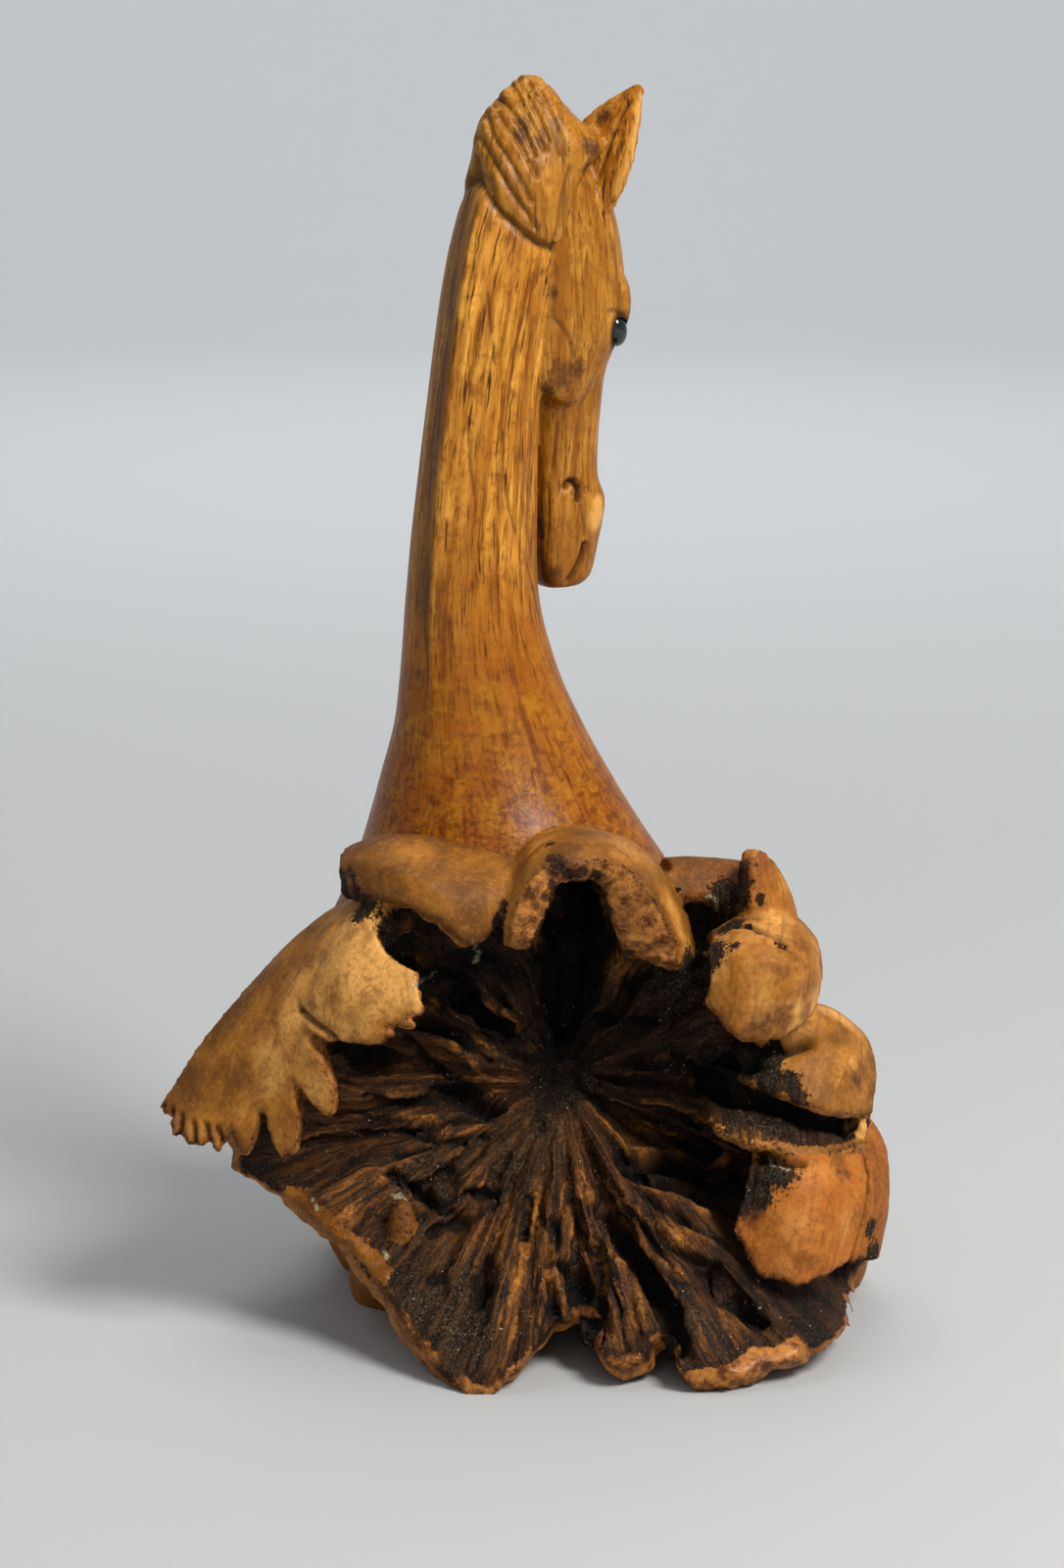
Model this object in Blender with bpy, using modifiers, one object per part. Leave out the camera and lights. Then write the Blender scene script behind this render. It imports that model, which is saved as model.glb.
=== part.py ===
# Wooden horse: a horse's head on a long neck that grows out of a burl with
# flaring, hollow lobes, all carved from one piece of wood, with inlaid eyes.
#
# +Z is up and the hollow of the burl opens towards -Y. The figure stands on
# z = 0 with the middle of its footprint at the origin. The carving is a free
# form, so its shapes are laid out in shares of the figure's height: one SHARE
# is 1 mm at the real size. Walls, eyes and cuts have sizes of their own.

import math

import bmesh
import bpy
import numpy as np
from mathutils import Vector

# Driving sizes, in metres
HEIGHT = 0.178              # floor to the top of the mane
LOBE_WALL = 0.0075          # thickness of the burl's lobes at their roots
LOBE_EDGE = 0.0018          # their thickness at the broken rim
BOWL_WALL = 0.0042          # thickness of the bowl at its rim
EYE_LENGTH = 0.0046         # inlaid eye, corner to corner
EYE_OPENING = 0.0034        # inlaid eye, lid to lid
EYE_DEPTH = 0.0030          # how thick the inlaid bead is
EYE_CLEARANCE = 0.0003      # gap between a bead and its socket
NOSTRIL_LENGTH = 0.0026
NOSTRIL_WIDTH = 0.0012
MOUTH_SLIT = 0.0007         # height of the cut between the lips
MOUTH_LENGTH = 0.0050

SHARES = 178
SHARE = HEIGHT / SHARES

# How finely the solid is drawn
CELL = 0.85 * SHARE         # cell of the grid that merges the forms
SMOOTHINGS = 3
FACE_SHARE = 0.052          # share of the merged faces that is kept

CUT_DEPTH = 20              # how far below the floor the forms may reach, in shares

# The horse looks away to the right of the burl's open side
FACING = math.radians(35)
FORWARD = np.array([math.cos(FACING), math.sin(FACING), 0.0])
RIGHT_SIDE = np.array([math.sin(FACING), -math.cos(FACING), 0.0])
UP = np.array([0.0, 0.0, 1.0])
HEAD_PLANE = np.array([3.5, 58.0, 0.0])     # a point on the head's plane of symmetry

# Trunk of the burl and neck, from the floor up to the poll: height, x, y,
# half depth, half width, how far the section is turned, in degrees, how
# sharply the crest stands at the back, and how deep the root folds are
TRUNK_AND_NECK = (
    (-5, 2.0, 61.0, 26.0, 17.0, 0, 0.00, 0.10),
    (4, 2.0, 61.5, 31.0, 22.0, 0, 0.00, 0.11),
    (18, 1.5, 62.0, 34.0, 24.0, 0, 0.00, 0.10),
    (32, 1.0, 61.0, 33.5, 24.0, 2, 0.00, 0.08),
    (44, 0.0, 59.0, 31.0, 23.5, 5, 0.00, 0.06),
    (54, -1.6, 56.0, 27.8, 23.0, 12, 0.00, 0.04),
    (62, -3.0, 53.6, 24.0, 22.0, 25, 0.00, 0.01),
    (70, -4.3, 52.5, 20.2, 18.8, 35, 0.00, 0.00),
    (77, -5.4, 52.0, 17.2, 15.6, 35, 0.00, 0.00),
    (85, -6.5, 51.0, 14.1, 12.4, 35, 0.01, 0.00),
    (94, -7.8, 50.0, 11.6, 10.2, 35, 0.03, 0.00),
    (104, -8.6, 49.5, 9.9, 8.8, 35, 0.05, 0.00),
    (118, -8.0, 50.0, 9.1, 8.0, 35, 0.07, 0.00),
    (132, -6.9, 51.0, 8.4, 7.4, 35, 0.10, 0.00),
    (146, -4.9, 52.5, 8.6, 7.6, 35, 0.12, 0.00),
    (158, -2.7, 54.0, 8.3, 7.2, 35, 0.12, 0.00),
    (167, -0.8, 55.4, 6.6, 5.6, 35, 0.08, 0.00),
)
ROOT_FOLDS = 9

# Head, from the lips up to the poll: height, x, y, half depth, half width
HEAD = (
    (104.0, 3.9, 58.4, 2.2, 2.3),
    (106.0, 4.4, 58.7, 3.8, 3.8),
    (110.0, 4.9, 59.0, 4.6, 4.5),
    (116.0, 5.2, 59.2, 4.9, 5.2),
    (120.0, 5.2, 59.2, 4.4, 4.6),
    (126.0, 5.0, 59.0, 4.5, 4.8),
    (131.5, 4.9, 58.9, 5.1, 5.6),
    (135.5, 4.2, 58.5, 6.4, 6.6),
    (140.0, 4.0, 58.4, 8.8, 7.6),
    (144.5, 4.5, 58.7, 9.6, 7.8),
    (151.0, 4.0, 58.4, 9.1, 7.0),
    (157.0, 3.5, 58.0, 8.6, 6.2),
    (162.0, 2.9, 57.6, 7.6, 5.6),
    (168.0, 1.4, 56.6, 5.0, 4.4),
)

# Where the face's details sit: height, and angle round the head from straight
# ahead. A negative inset stands out of the head's section.
EYE_HEIGHT = 141.0
EYE_ANGLE = math.radians(48)
EYE_INSET = 0.3
BROW_HEIGHT = 145.0
BROW_INSET = 0.5
BROW_RADII = (2.4, 2.0, 3.8)
JAW_HEIGHT = 139.0
JAW_ANGLE = math.radians(110)
JAW_INSET = 1.6
JAW_RADII = (5.0, 2.6, 6.0)
NOSTRIL_HEIGHT = 117.6
NOSTRIL_ANGLE = math.radians(62)
NOSTRIL_INSET = -0.1
NOSTRIL_LEAN = math.radians(22)
MOUTH_HEIGHT = 107.2
MOUTH_ANGLE = math.radians(58)
MOUTH_LEAN = math.radians(53)
CUT_REACH = 1.0             # how deep the nostrils and the mouth are cut, either way

# Ears, as sheets like the burl's lobes: guide points from root to tip, half
# widths, how far the edges drop, and the direction across at root and tip
EAR_WALL = 2.4
EAR_EDGE = 1.0
PRICKED_EAR = dict(
    guide=((5.2, 57.0, 155), (6.4, 56.2, 163), (9.8, 56.2, 169), (15.7, 57.0, 176.2)),
    widths=(3.0, 5.8, 0.7), drop=(1.4, 0.6), rounding=0.0, notch=0.0,
    across=((-0.8, 0.6, 0.2), (-0.8, 0.55, 0.25)))
FOLDED_EAR = dict(
    guide=((2.0, 61.0, 158), (1.5, 63.5, 165), (-1.0, 65.0, 168), (-4.5, 65.5, 171.0)),
    widths=(3.0, 4.2, 0.6), drop=(1.2, 0.6), rounding=0.0, notch=0.0,
    across=((0.8, -0.5, 0.3), (0.7, -0.5, 0.4)))

# Mane: where the locks start along the top of the head, and where they end
# in a point on the cheek
MANE_TOP = (
    (-5.8, 51.1, 166.0),
    (-5.4, 51.3, 173.0),
    (-2.4, 53.2, 176.6),
    (0.6, 54.8, 177.0),
    (4.0, 57.0, 172.4),
    (7.2, 59.4, 168.8),
)
MANE_POINT = (
    (-3.6, 46.6, 158.5),
    (0.8, 46.8, 155.5),
    (3.0, 48.2, 154.0),
    (4.4, 49.8, 157.0),
    (5.6, 51.6, 161.5),
    (6.8, 53.0, 164.5),
)
LOCKS = 6
LOCK_STEPS = 18
LOCK_THICKNESS = 2.0
LOCK_TAPER = 0.65
LOCK_FLATNESS = 0.8
LOCK_BULGES = (1.4, 3.0)    # how far the first and the last lock stand off the cheek
CAP_CENTRE = np.array([-0.6, 55.0, 166.5])
CAP_RADII = (8.4, 5.6, 8.4)

# Broken rim of the burl's bowl, clockwise from the middle of its lower lip
BOWL_FLOOR = np.array([4.0, 35.0, 35.5])
BOWL_RIM = (
    (6.0, 10.0, 9.5),
    (0.5, 5.0, 6.0),
    (-6.5, 1.2, 0.6),
    (-14.0, 7.0, 4.2),
    (-19.8, 13.5, 10.5),
    (-27.0, 21.0, 17.0),
    (-36.0, 28.0, 21.6),
    (-43.5, 32.0, 26.6),
    (-45.0, 32.0, 34.0),
    (-39.0, 30.0, 45.0),
    (-32.0, 28.0, 55.0),
    (-24.0, 27.0, 62.5),
    (-13.0, 26.0, 62.5),
    (-3.0, 26.0, 59.5),
    (7.0, 32.0, 58.0),
    (17.0, 25.0, 62.6),
    (24.5, 27.0, 65.0),
    (31.0, 29.0, 59.0),
    (34.0, 24.0, 47.0),
    (38.0, 24.0, 37.0),
    (40.0, 26.0, 28.0),
    (44.0, 32.0, 18.0),
    (47.0, 42.0, 11.0),
    (45.0, 36.0, 5.0),
    (41.4, 11.0, 6.2),
    (33.0, 3.6, 4.0),
    (21.8, 0.8, 2.4),
    (18.0, 7.0, 7.0),
    (14.2, 2.6, 4.2),
    (9.6, 3.0, 5.2),
)
BULB_CENTRE = np.array([2.0, 57.0, 30.0])
BULB_HALF_WIDTH = 30.0
BULB_HALF_HEIGHT = 28.0
BULB_BACK = 12.0            # how far the bowl reaches behind the bulb's middle
BULB_SWELL = 5.0            # how far the burl bulges between its rim and its middle
BOWL_SAG = 2.5              # how far the bowl's wall curves back between floor and rim
FLUTES = (                  # depth, number round the bowl, wander, bends of the wander
    (0.9, 21, 1.3, 3),
    (0.6, 37, 2.0, 5),
)

# The waves of the lobes' broken rims
RIM_WAVES = 9.0
RIM_PHASE = 1.0
EDGE_THINNING = 0.35        # how much thinner a lobe is along its two sides

# Lobes that curl out over the bowl. Each runs along four guide points from
# its root to its rim: half widths at root, middle and rim, how far the edges
# drop, how round the rim is, how deep its notches are, and the direction
# across it at the root and at the rim.
LOBES = {
    "brow_roll": dict(
        guide=((-14, 48, 57), (-15.5, 40, 71), (-16, 25, 73.5), (-13, 17, 62.5)),
        widths=(12, 14.0, 12), drop=(2, 3.5), rounding=0.12, notch=0.03,
        across=((1, 0, 0), (0.96, -0.05, -0.26))),
    "tunnel": dict(
        guide=((8, 50, 55), (8, 40, 72), (7.4, 26, 77), (7.0, 14, 75.4)),
        widths=(9, 11.0, 12), drop=(8, 16), rounding=0.08, notch=0.05,
        across=((1, 0, 0), (1, 0, -0.05)), rim_thickness=2.6),
    "pointed_lobe": dict(
        guide=((30, 42, 46), (35.5, 37, 55), (34.5, 30, 63), (31.0, 28, 71.0)),
        widths=(11, 6.8, 2.0), drop=(1.5, 2.0), rounding=0.30, notch=0.05,
        across=((-0.75, -0.6, -0.1), (-0.75, -0.6, -0.1)), rim_thickness=1.6),
    "knob": dict(
        guide=((24, 46, 48), (34, 37, 61.5), (38.6, 22, 59.6), (33.0, 16, 46.4)),
        widths=(9, 9.4, 7), drop=(2, 4), rounding=0.25, notch=0.05,
        across=((1, 0.2, -0.1), (0.95, 0.15, -0.2))),
    "shoulder": dict(
        guide=((22, 46, 37), (35, 40, 46.5), (45, 24, 46.5), (42.0, 17, 34)),
        widths=(10, 10, 8.5), drop=(2, 4), rounding=0.2, notch=0.05,
        across=((1, 0.25, -0.15), (0.96, 0.25, -0.15))),
    "ledge": dict(
        guide=((18, 44, 34), (30, 36, 35), (37, 25, 34), (37.5, 15.5, 30.4)),
        widths=(10, 10, 9), drop=(0.5, 0.8), rounding=0.15, notch=0.08,
        across=((1, 0.3, 0), (0.97, 0.25, 0.05))),
    "right_petal": dict(
        guide=((33, 48, 18), (41, 40, 27), (41.0, 14, 31.5), (37.2, 9, 13.5)),
        widths=(11, 9.5, 8.5), drop=(2, 2.5), rounding=0.12, notch=0.07,
        across=((1, 0.25, 0), (0.97, 0.22, 0))),
    "rear_right_petal": dict(
        guide=((34, 58, 20), (46, 54, 28), (52.5, 44, 23), (49.5, 38, 8)),
        widths=(9, 8, 6), drop=(2, 2.5), rounding=0.2, notch=0.10,
        across=((0.5, 0.7, -0.3), (0.5, 0.7, -0.3))),
    "left_petal": dict(
        guide=((-13, 46, 58), (-25, 36, 60), (-40.0, 24.5, 46.5), (-43.6, 19.5, 29)),
        widths=(14, 13.5, 15.8), drop=(2, 3.5), rounding=0.04, notch=0.09,
        across=((0.5, -0.5, 0.6), (0.93, -0.35, 0.1))),
    "front_petal": dict(
        guide=((-14, 43, 62), (-23, 31, 66), (-28, 15, 60.5), (-21.5, 10.5, 47.5)),
        widths=(10, 10.5, 8), drop=(2, 2.5), rounding=0.25, notch=0.10,
        across=((0.8, -0.55, 0.2), (0.93, -0.33, 0.15))),
    "flap": dict(
        guide=((-12, 36, 22), (-19, 30, 22), (-25, 23, 20), (-27.5, 19, 15)),
        widths=(8, 7, 6), drop=(1, 1), rounding=0.15, notch=0.08,
        across=((0.6, -0.75, -0.2), (0.75, -0.6, -0.3))),
}

# Root swellings that carry the burl: start, end, radius at start and end
ROOTS = (
    ((-4, 58, 30), (-20, 43, 3), 13, 7.0),
    ((12, 60, 30), (42, 50, 4), 13, 8.0),
)


def rows_along(rows, count):
    """Read count rows, evenly, from a smooth curve through the given rows."""
    points = np.array(rows, float)
    points = np.vstack([2 * points[0] - points[1], points, 2 * points[-1] - points[-2]])
    place = np.linspace(0, len(rows) - 1, count)
    first = np.minimum(place.astype(int), len(rows) - 2)
    return between_rows(points, first, (place - first)[:, None])


def rows_around(rows, count):
    """Read count rows, evenly, from a smooth closed curve through the given rows."""
    points = np.array(rows, float)
    points = np.vstack([points[-1], points, points[0], points[1]])
    place = np.arange(count) * len(rows) / count
    first = place.astype(int)
    return between_rows(points, first, (place - first)[:, None])


def between_rows(points, first, share):
    before, start, end, after = (points[first + i] for i in range(4))
    return 0.5 * (
        2 * start
        + (end - before) * share
        + (2 * before - 5 * start + 4 * end - after) * share ** 2
        + (3 * start - before - 3 * end + after) * share ** 3
    )


def unit(vectors):
    return vectors / np.linalg.norm(vectors, axis=-1, keepdims=True)


def loft(rings, paired_ends=False):
    """Close a stack of rings into one body: vertices and faces.

    Each end is a fan round its middle, or, for a flat ring that runs out along
    one side of a sheet and back along the other, a strip from side to side.
    """
    count, size, _ = rings.shape
    vertices = rings.reshape(-1, 3)
    ring = np.arange(size)
    following = (ring + 1) % size
    faces = []
    for level in range(count - 1):
        low, high = level * size, (level + 1) * size
        faces += np.stack([low + ring, low + following, high + following, high + ring], 1).tolist()
    last = (count - 1) * size
    if paired_ends:
        half = size // 2
        for j in range(half - 1):
            faces.append([j + 1, j, size - 1 - j, size - 2 - j])
            faces.append([last + j, last + j + 1, last + size - 2 - j, last + size - 1 - j])
    else:
        vertices = np.vstack([vertices, rings[0].mean(0), rings[-1].mean(0)])
        bottom, top = count * size, count * size + 1
        for j in range(size):
            faces.append([bottom, (j + 1) % size, j])
            faces.append([top, last + j, last + (j + 1) % size])
    return vertices, faces


def oval_ring(centre, half_depth, half_width, size, turn=FACING, crest=0.0, folds=0.0):
    """An oval section, with a crest at the back of the neck or folds all round."""
    angle = np.arange(size) * 2 * math.pi / size
    behind = np.clip(-np.cos(angle), 0, 1) ** 8
    ripple = abs(np.cos(ROOT_FOLDS * angle / 2 + 0.7 * np.sin(2 * angle)))
    swell = 1 + crest * behind + folds * (2 * ripple - 1.3)
    depth = half_depth * np.cos(angle) * swell
    width = half_width * np.sin(angle) * swell
    ahead = np.array([math.cos(turn), math.sin(turn), 0.0])
    right = np.array([math.sin(turn), -math.cos(turn), 0.0])
    return centre + depth[:, None] * ahead + width[:, None] * right


def neck_body():
    rings = [
        oval_ring(np.array([x, y, z]), depth, width, 96, math.radians(turn), crest, folds)
        for z, x, y, depth, width, turn, crest, folds in rows_along(TRUNK_AND_NECK, 90)]
    return loft(np.array(rings))


def head_row(height):
    """The head's section at a height."""
    rows = rows_along(HEAD, 400)
    return rows[np.argmin(abs(rows[:, 0] - height))]


def head_point(height, angle, outward=0.0):
    """A point on the head's surface, or proud of it, on the horse's right."""
    z, x, y, depth, width = head_row(height)
    return (np.array([x, y, z])
            + (depth + outward) * math.cos(angle) * FORWARD
            + (width + outward) * math.sin(angle) * RIGHT_SIDE)


def head_body():
    rings = [oval_ring(np.array([x, y, z]), depth, width, 40)
             for z, x, y, depth, width in rows_along(HEAD, 60)]
    return loft(np.array(rings))


def ellipsoid(centre, radii, axes=(FORWARD, RIGHT_SIDE, UP), size=20):
    """A rounded swelling with its radii along three directions."""
    sphere = bmesh.new()
    bmesh.ops.create_uvsphere(sphere, u_segments=size, v_segments=size // 2, radius=1.0)
    points = np.array([vertex.co for vertex in sphere.verts])
    faces = [[vertex.index for vertex in face.verts] for face in sphere.faces]
    sphere.free()
    return centre + (points * radii) @ np.array(axes), faces


def tube(path, radii, flatten=1.0, size=16, side=RIGHT_SIDE):
    """A tapered strip along a path, flattened against one side."""
    tangent = unit(np.gradient(path, axis=0))
    normal = unit(side - (tangent @ side)[:, None] * tangent)
    across = np.cross(tangent, normal)
    angle = np.arange(size) * 2 * math.pi / size
    rings = (path[:, None]
             + (radii[:, None] * np.cos(angle))[:, :, None] * across[:, None]
             + (radii[:, None] * np.sin(angle) * flatten)[:, :, None] * normal[:, None])
    return loft(rings)


def other_side(points):
    """Mirror points to the horse's left."""
    return points - 2 * ((points - HEAD_PLANE) @ RIGHT_SIDE)[:, None] * RIGHT_SIDE


def mirrored(body):
    vertices, faces = body
    return other_side(vertices), [face[::-1] for face in faces]


def mane_bodies():
    """A cap over the poll and overlapping locks that sweep down both cheeks."""
    bodies = [ellipsoid(CAP_CENTRE, CAP_RADII)]
    starts = rows_along(MANE_TOP, LOCKS)
    ends = rows_along(MANE_POINT, LOCKS)
    for start, end, bulge in zip(starts, ends, np.linspace(*LOCK_BULGES, LOCKS)):
        middle = (start + end) / 2 + bulge * RIGHT_SIDE + UP
        path = rows_along((start, middle, end), LOCK_STEPS)
        reach = np.linspace(0, 1, LOCK_STEPS)
        radii = LOCK_THICKNESS * (1.0 - LOCK_TAPER * reach ** 2)
        lock = tube(path, radii, flatten=LOCK_FLATNESS)
        bodies += [lock, mirrored(lock)]
    return bodies


def lobe_body(guide, widths, drop, rounding, notch, across, wall, edge,
              rim_thickness=1.0, steps=26, stations=31):
    """A curved sheet that grows from its root to a notched rim."""
    p0, p1, p2, p3 = (np.array(p, float) for p in guide)
    side = np.linspace(-1, 1, stations)
    waves = np.clip(np.sin(RIM_WAVES * side + RIM_PHASE), 0, 1) ** 2
    reach = 1 - rounding * side ** 4 - notch * waves
    place = np.linspace(0, 1, steps)[:, None] * reach
    s = place[:, :, None]
    centre = ((1 - s) ** 3 * p0 + 3 * s * (1 - s) ** 2 * p1
              + 3 * s ** 2 * (1 - s) * p2 + s ** 3 * p3)
    tangent = unit(3 * (1 - s) ** 2 * (p1 - p0) + 6 * s * (1 - s) * (p2 - p1)
                   + 3 * s ** 2 * (p3 - p2))
    toward = (1 - s) * np.array(across[0], float) + s * np.array(across[1], float)
    toward = unit(toward - (toward * tangent).sum(-1, keepdims=True) * tangent)
    outward = np.cross(tangent, toward)
    width = widths[0] * (1 - place) * (1 - 2 * place) + 4 * widths[1] * place * (1 - place) \
        + widths[2] * place * (2 * place - 1)
    fall = drop[0] + (drop[1] - drop[0]) * place
    thickness = edge * rim_thickness + (wall - edge * rim_thickness) * (1 - place ** 2)
    thickness = thickness * (1 - EDGE_THINNING * side ** 6)
    fallen = fall * side ** 2
    outer = centre + (width * side)[..., None] * toward - fallen[..., None] * outward
    normal = unit(np.cross(np.gradient(outer, axis=1), np.gradient(outer, axis=0)))
    normal *= np.sign((normal * outward).sum(-1, keepdims=True))
    inner = outer - thickness[..., None] * normal
    return loft(np.concatenate([outer, inner[:, ::-1]], axis=1), paired_ends=True)


def bowl_body():
    """The burl itself: a fluted bowl in front and a bulb behind."""
    around = 240
    rim = rows_around(BOWL_RIM, around)
    spoke = rim - BOWL_FLOOR
    angle = np.arctan2(spoke[:, 2], spoke[:, 0])
    flutes = sum(depth * np.sin(number * angle + wander * np.sin(bends * angle))
                 for depth, number, wander, bends in FLUTES)
    rings = []
    for reach in np.linspace(0.03, 1, 26):
        halfway = math.sin(math.pi * reach)
        ring = BOWL_FLOOR + spoke * reach
        ring[:, 1] += BOWL_SAG * halfway + flutes * halfway ** 0.6
        rings.append(ring)
    bulb = BULB_CENTRE + np.stack([
        BULB_HALF_WIDTH * np.cos(angle), 0 * angle, BULB_HALF_HEIGHT * np.sin(angle)], 1)
    outward = unit(np.stack([np.cos(angle), 0.9 + 0 * angle, np.sin(angle)], 1))
    lip = rim + outward * BOWL_WALL / SHARE
    for share in np.linspace(0, 1, 14):
        bulge = BULB_SWELL * math.sin(math.pi * share)
        rings.append(lip * (1 - share) + bulb * share + bulge * outward)
    for turn in np.linspace(0, math.pi / 2, 12)[1:-1]:
        ring = BULB_CENTRE + (bulb - BULB_CENTRE) * math.cos(turn)
        ring[:, 1] += BULB_BACK * math.sin(turn)
        rings.append(ring)
    return loft(np.array(rings))


def root_bodies():
    bodies = []
    for start, end, start_radius, end_radius in ROOTS:
        path = rows_along((start, (np.array(start) + np.array(end)) / 2, end), 14)
        radii = np.linspace(start_radius, end_radius, 14)
        bodies.append(tube(path, radii, size=28, side=np.array([0.0, 0.0, 1.0])))
        bodies.append(ellipsoid(np.array(end, float), (end_radius,) * 3))
    return bodies


def ear_bodies():
    """The right ear pricked forward, the left one turned back."""
    return [lobe_body(**ear, wall=EAR_WALL, edge=EAR_EDGE, steps=20, stations=11)
            for ear in (PRICKED_EAR, FOLDED_EAR)]


def brow_bodies():
    brow = ellipsoid(head_point(BROW_HEIGHT, EYE_ANGLE, -BROW_INSET), BROW_RADII)
    jaw = ellipsoid(head_point(JAW_HEIGHT, JAW_ANGLE, -JAW_INSET), JAW_RADII)
    return [brow, mirrored(brow), jaw, mirrored(jaw)]


def carving_bodies():
    bodies = [neck_body(), head_body(), bowl_body()]
    bodies += mane_bodies() + ear_bodies() + brow_bodies() + root_bodies()
    for lobe in LOBES.values():
        bodies.append(lobe_body(**lobe, wall=LOBE_WALL / SHARE, edge=LOBE_EDGE / SHARE))
    return bodies


def material(name, colour, roughness):
    made = bpy.data.materials.new(name)
    made.use_nodes = True
    shader = made.node_tree.nodes["Principled BSDF"]
    shader.inputs["Base Color"].default_value = (*colour, 1.0)
    shader.inputs["Roughness"].default_value = roughness
    return made


def mesh_object(name, bodies, collection):
    """One mesh object that holds several closed bodies."""
    mesh = bpy.data.meshes.new(name)
    build = bmesh.new()
    for vertices, faces in bodies:
        made = [build.verts.new(Vector(point * SHARE)) for point in vertices]
        new_faces = [build.faces.new([made[i] for i in face]) for face in faces]
        bmesh.ops.recalc_face_normals(build, faces=new_faces)
    build.to_mesh(mesh)
    build.free()
    thing = bpy.data.objects.new(name, mesh)
    collection.objects.link(thing)
    return thing


def cut(thing, name, cutter):
    step = thing.modifiers.new(name, "BOOLEAN")
    step.operation = "DIFFERENCE"
    step.solver = "EXACT"
    step.object = cutter


def eye_axes():
    """Along the eye, across its lids, and out of the head."""
    outward = math.cos(EYE_ANGLE) * FORWARD + math.sin(EYE_ANGLE) * RIGHT_SIDE
    along = unit(np.cross(outward, UP) * 0.55 + UP * 0.9)
    along = unit(along - (along @ outward) * outward)
    return along, np.cross(outward, along), outward


def eye_body(extra):
    """The inlaid bead, or its socket when extra is the gap round it."""
    length, opening, depth = (
        (size / 2 + extra) / SHARE for size in (EYE_LENGTH, EYE_OPENING, EYE_DEPTH))
    centre = head_point(EYE_HEIGHT, EYE_ANGLE, -EYE_INSET)
    return ellipsoid(centre, (length, opening, depth), eye_axes(), size=14)


def face_cut(centre, angle, lean, length, width):
    """A lens-shaped cut in the head: lean is how far it tips from upright."""
    outward = math.cos(angle) * FORWARD + math.sin(angle) * RIGHT_SIDE
    along = unit(math.sin(lean) * unit(np.cross(outward, UP)) + math.cos(lean) * UP)
    axes = (along, np.cross(outward, along), outward)
    return ellipsoid(centre, (length / 2 / SHARE, width / 2 / SHARE, CUT_REACH), axes, size=8)


def nostril_body():
    centre = head_point(NOSTRIL_HEIGHT, NOSTRIL_ANGLE, -NOSTRIL_INSET)
    return face_cut(centre, NOSTRIL_ANGLE, NOSTRIL_LEAN, NOSTRIL_LENGTH, NOSTRIL_WIDTH)


def mouth_body():
    """The cut between the lips, on one side of the muzzle."""
    centre = head_point(MOUTH_HEIGHT, MOUTH_ANGLE)
    return face_cut(centre, MOUTH_ANGLE, MOUTH_LEAN, MOUTH_LENGTH, MOUTH_SLIT)


def main():
    for thing in list(bpy.data.objects):
        bpy.data.objects.remove(thing)
    parts = bpy.data.collections.new("wooden_horse_figure")
    cutters = bpy.data.collections.new("cutters")
    for collection in (parts, cutters):
        bpy.context.scene.collection.children.link(collection)

    frame = bpy.data.objects.new("figure_origin", None)
    parts.objects.link(frame)

    carving = mesh_object("horse_burl_carving", carving_bodies(), parts)
    carving.data.materials.append(material("carved_wood", (0.50, 0.25, 0.08), 0.5))
    merge = carving.modifiers.new("merge the forms", "REMESH")
    merge.mode = "VOXEL"
    merge.voxel_size = CELL
    soften = carving.modifiers.new("soften the joints", "SMOOTH")
    soften.factor = 0.5
    soften.iterations = SMOOTHINGS
    reduce = carving.modifiers.new("fewer faces", "DECIMATE")
    reduce.ratio = FACE_SHARE

    below = CUT_DEPTH * SHARE
    bpy.ops.mesh.primitive_cube_add(size=1, location=(0, BOWL_FLOOR[1] * SHARE, -below / 2))
    floor = bpy.context.object
    floor.name = "floor_cut"
    floor.scale = (HEIGHT, HEIGHT, below)
    bpy.context.collection.objects.unlink(floor)
    cutters.objects.link(floor)

    right_cuts = [eye_body(EYE_CLEARANCE), nostril_body(), mouth_body()]
    hollows = mesh_object("socket_cuts", right_cuts + [mirrored(b) for b in right_cuts], cutters)
    cut(carving, "flat underside", floor)
    cut(carving, "eye sockets, nostrils and mouth", hollows)
    for cutter in (floor, hollows):
        cutter.hide_render = True
        cutter.display_type = "WIRE"

    beads = []
    for side, body in (("right", eye_body(0.0)), ("left", mirrored(eye_body(0.0)))):
        bead = mesh_object("eye_bead_" + side, [body], parts)
        bead.data.materials.append(material("dark_bead_" + side, (0.01, 0.012, 0.02), 0.1))
        bead.data.shade_smooth()
        beads.append(bead)

    stand_on_the_origin(frame, [carving, floor, hollows] + beads, carving)


def stand_on_the_origin(frame, things, carving):
    """Put the middle of the carving's footprint at the origin."""
    for thing in things:
        thing.parent = frame
    bpy.context.view_layer.update()
    shape = carving.evaluated_get(bpy.context.evaluated_depsgraph_get())
    corners = np.array([shape.matrix_world @ Vector(corner) for corner in shape.bound_box])
    middle = (corners.min(0) + corners.max(0)) / 2
    frame.location = (-middle[0], -middle[1], -corners[:, 2].min())
    bpy.context.view_layer.update()


main()
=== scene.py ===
import math
from functools import reduce

import bmesh
import bpy
import numpy as np
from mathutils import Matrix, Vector
from mathutils.bvhtree import BVHTree


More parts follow.
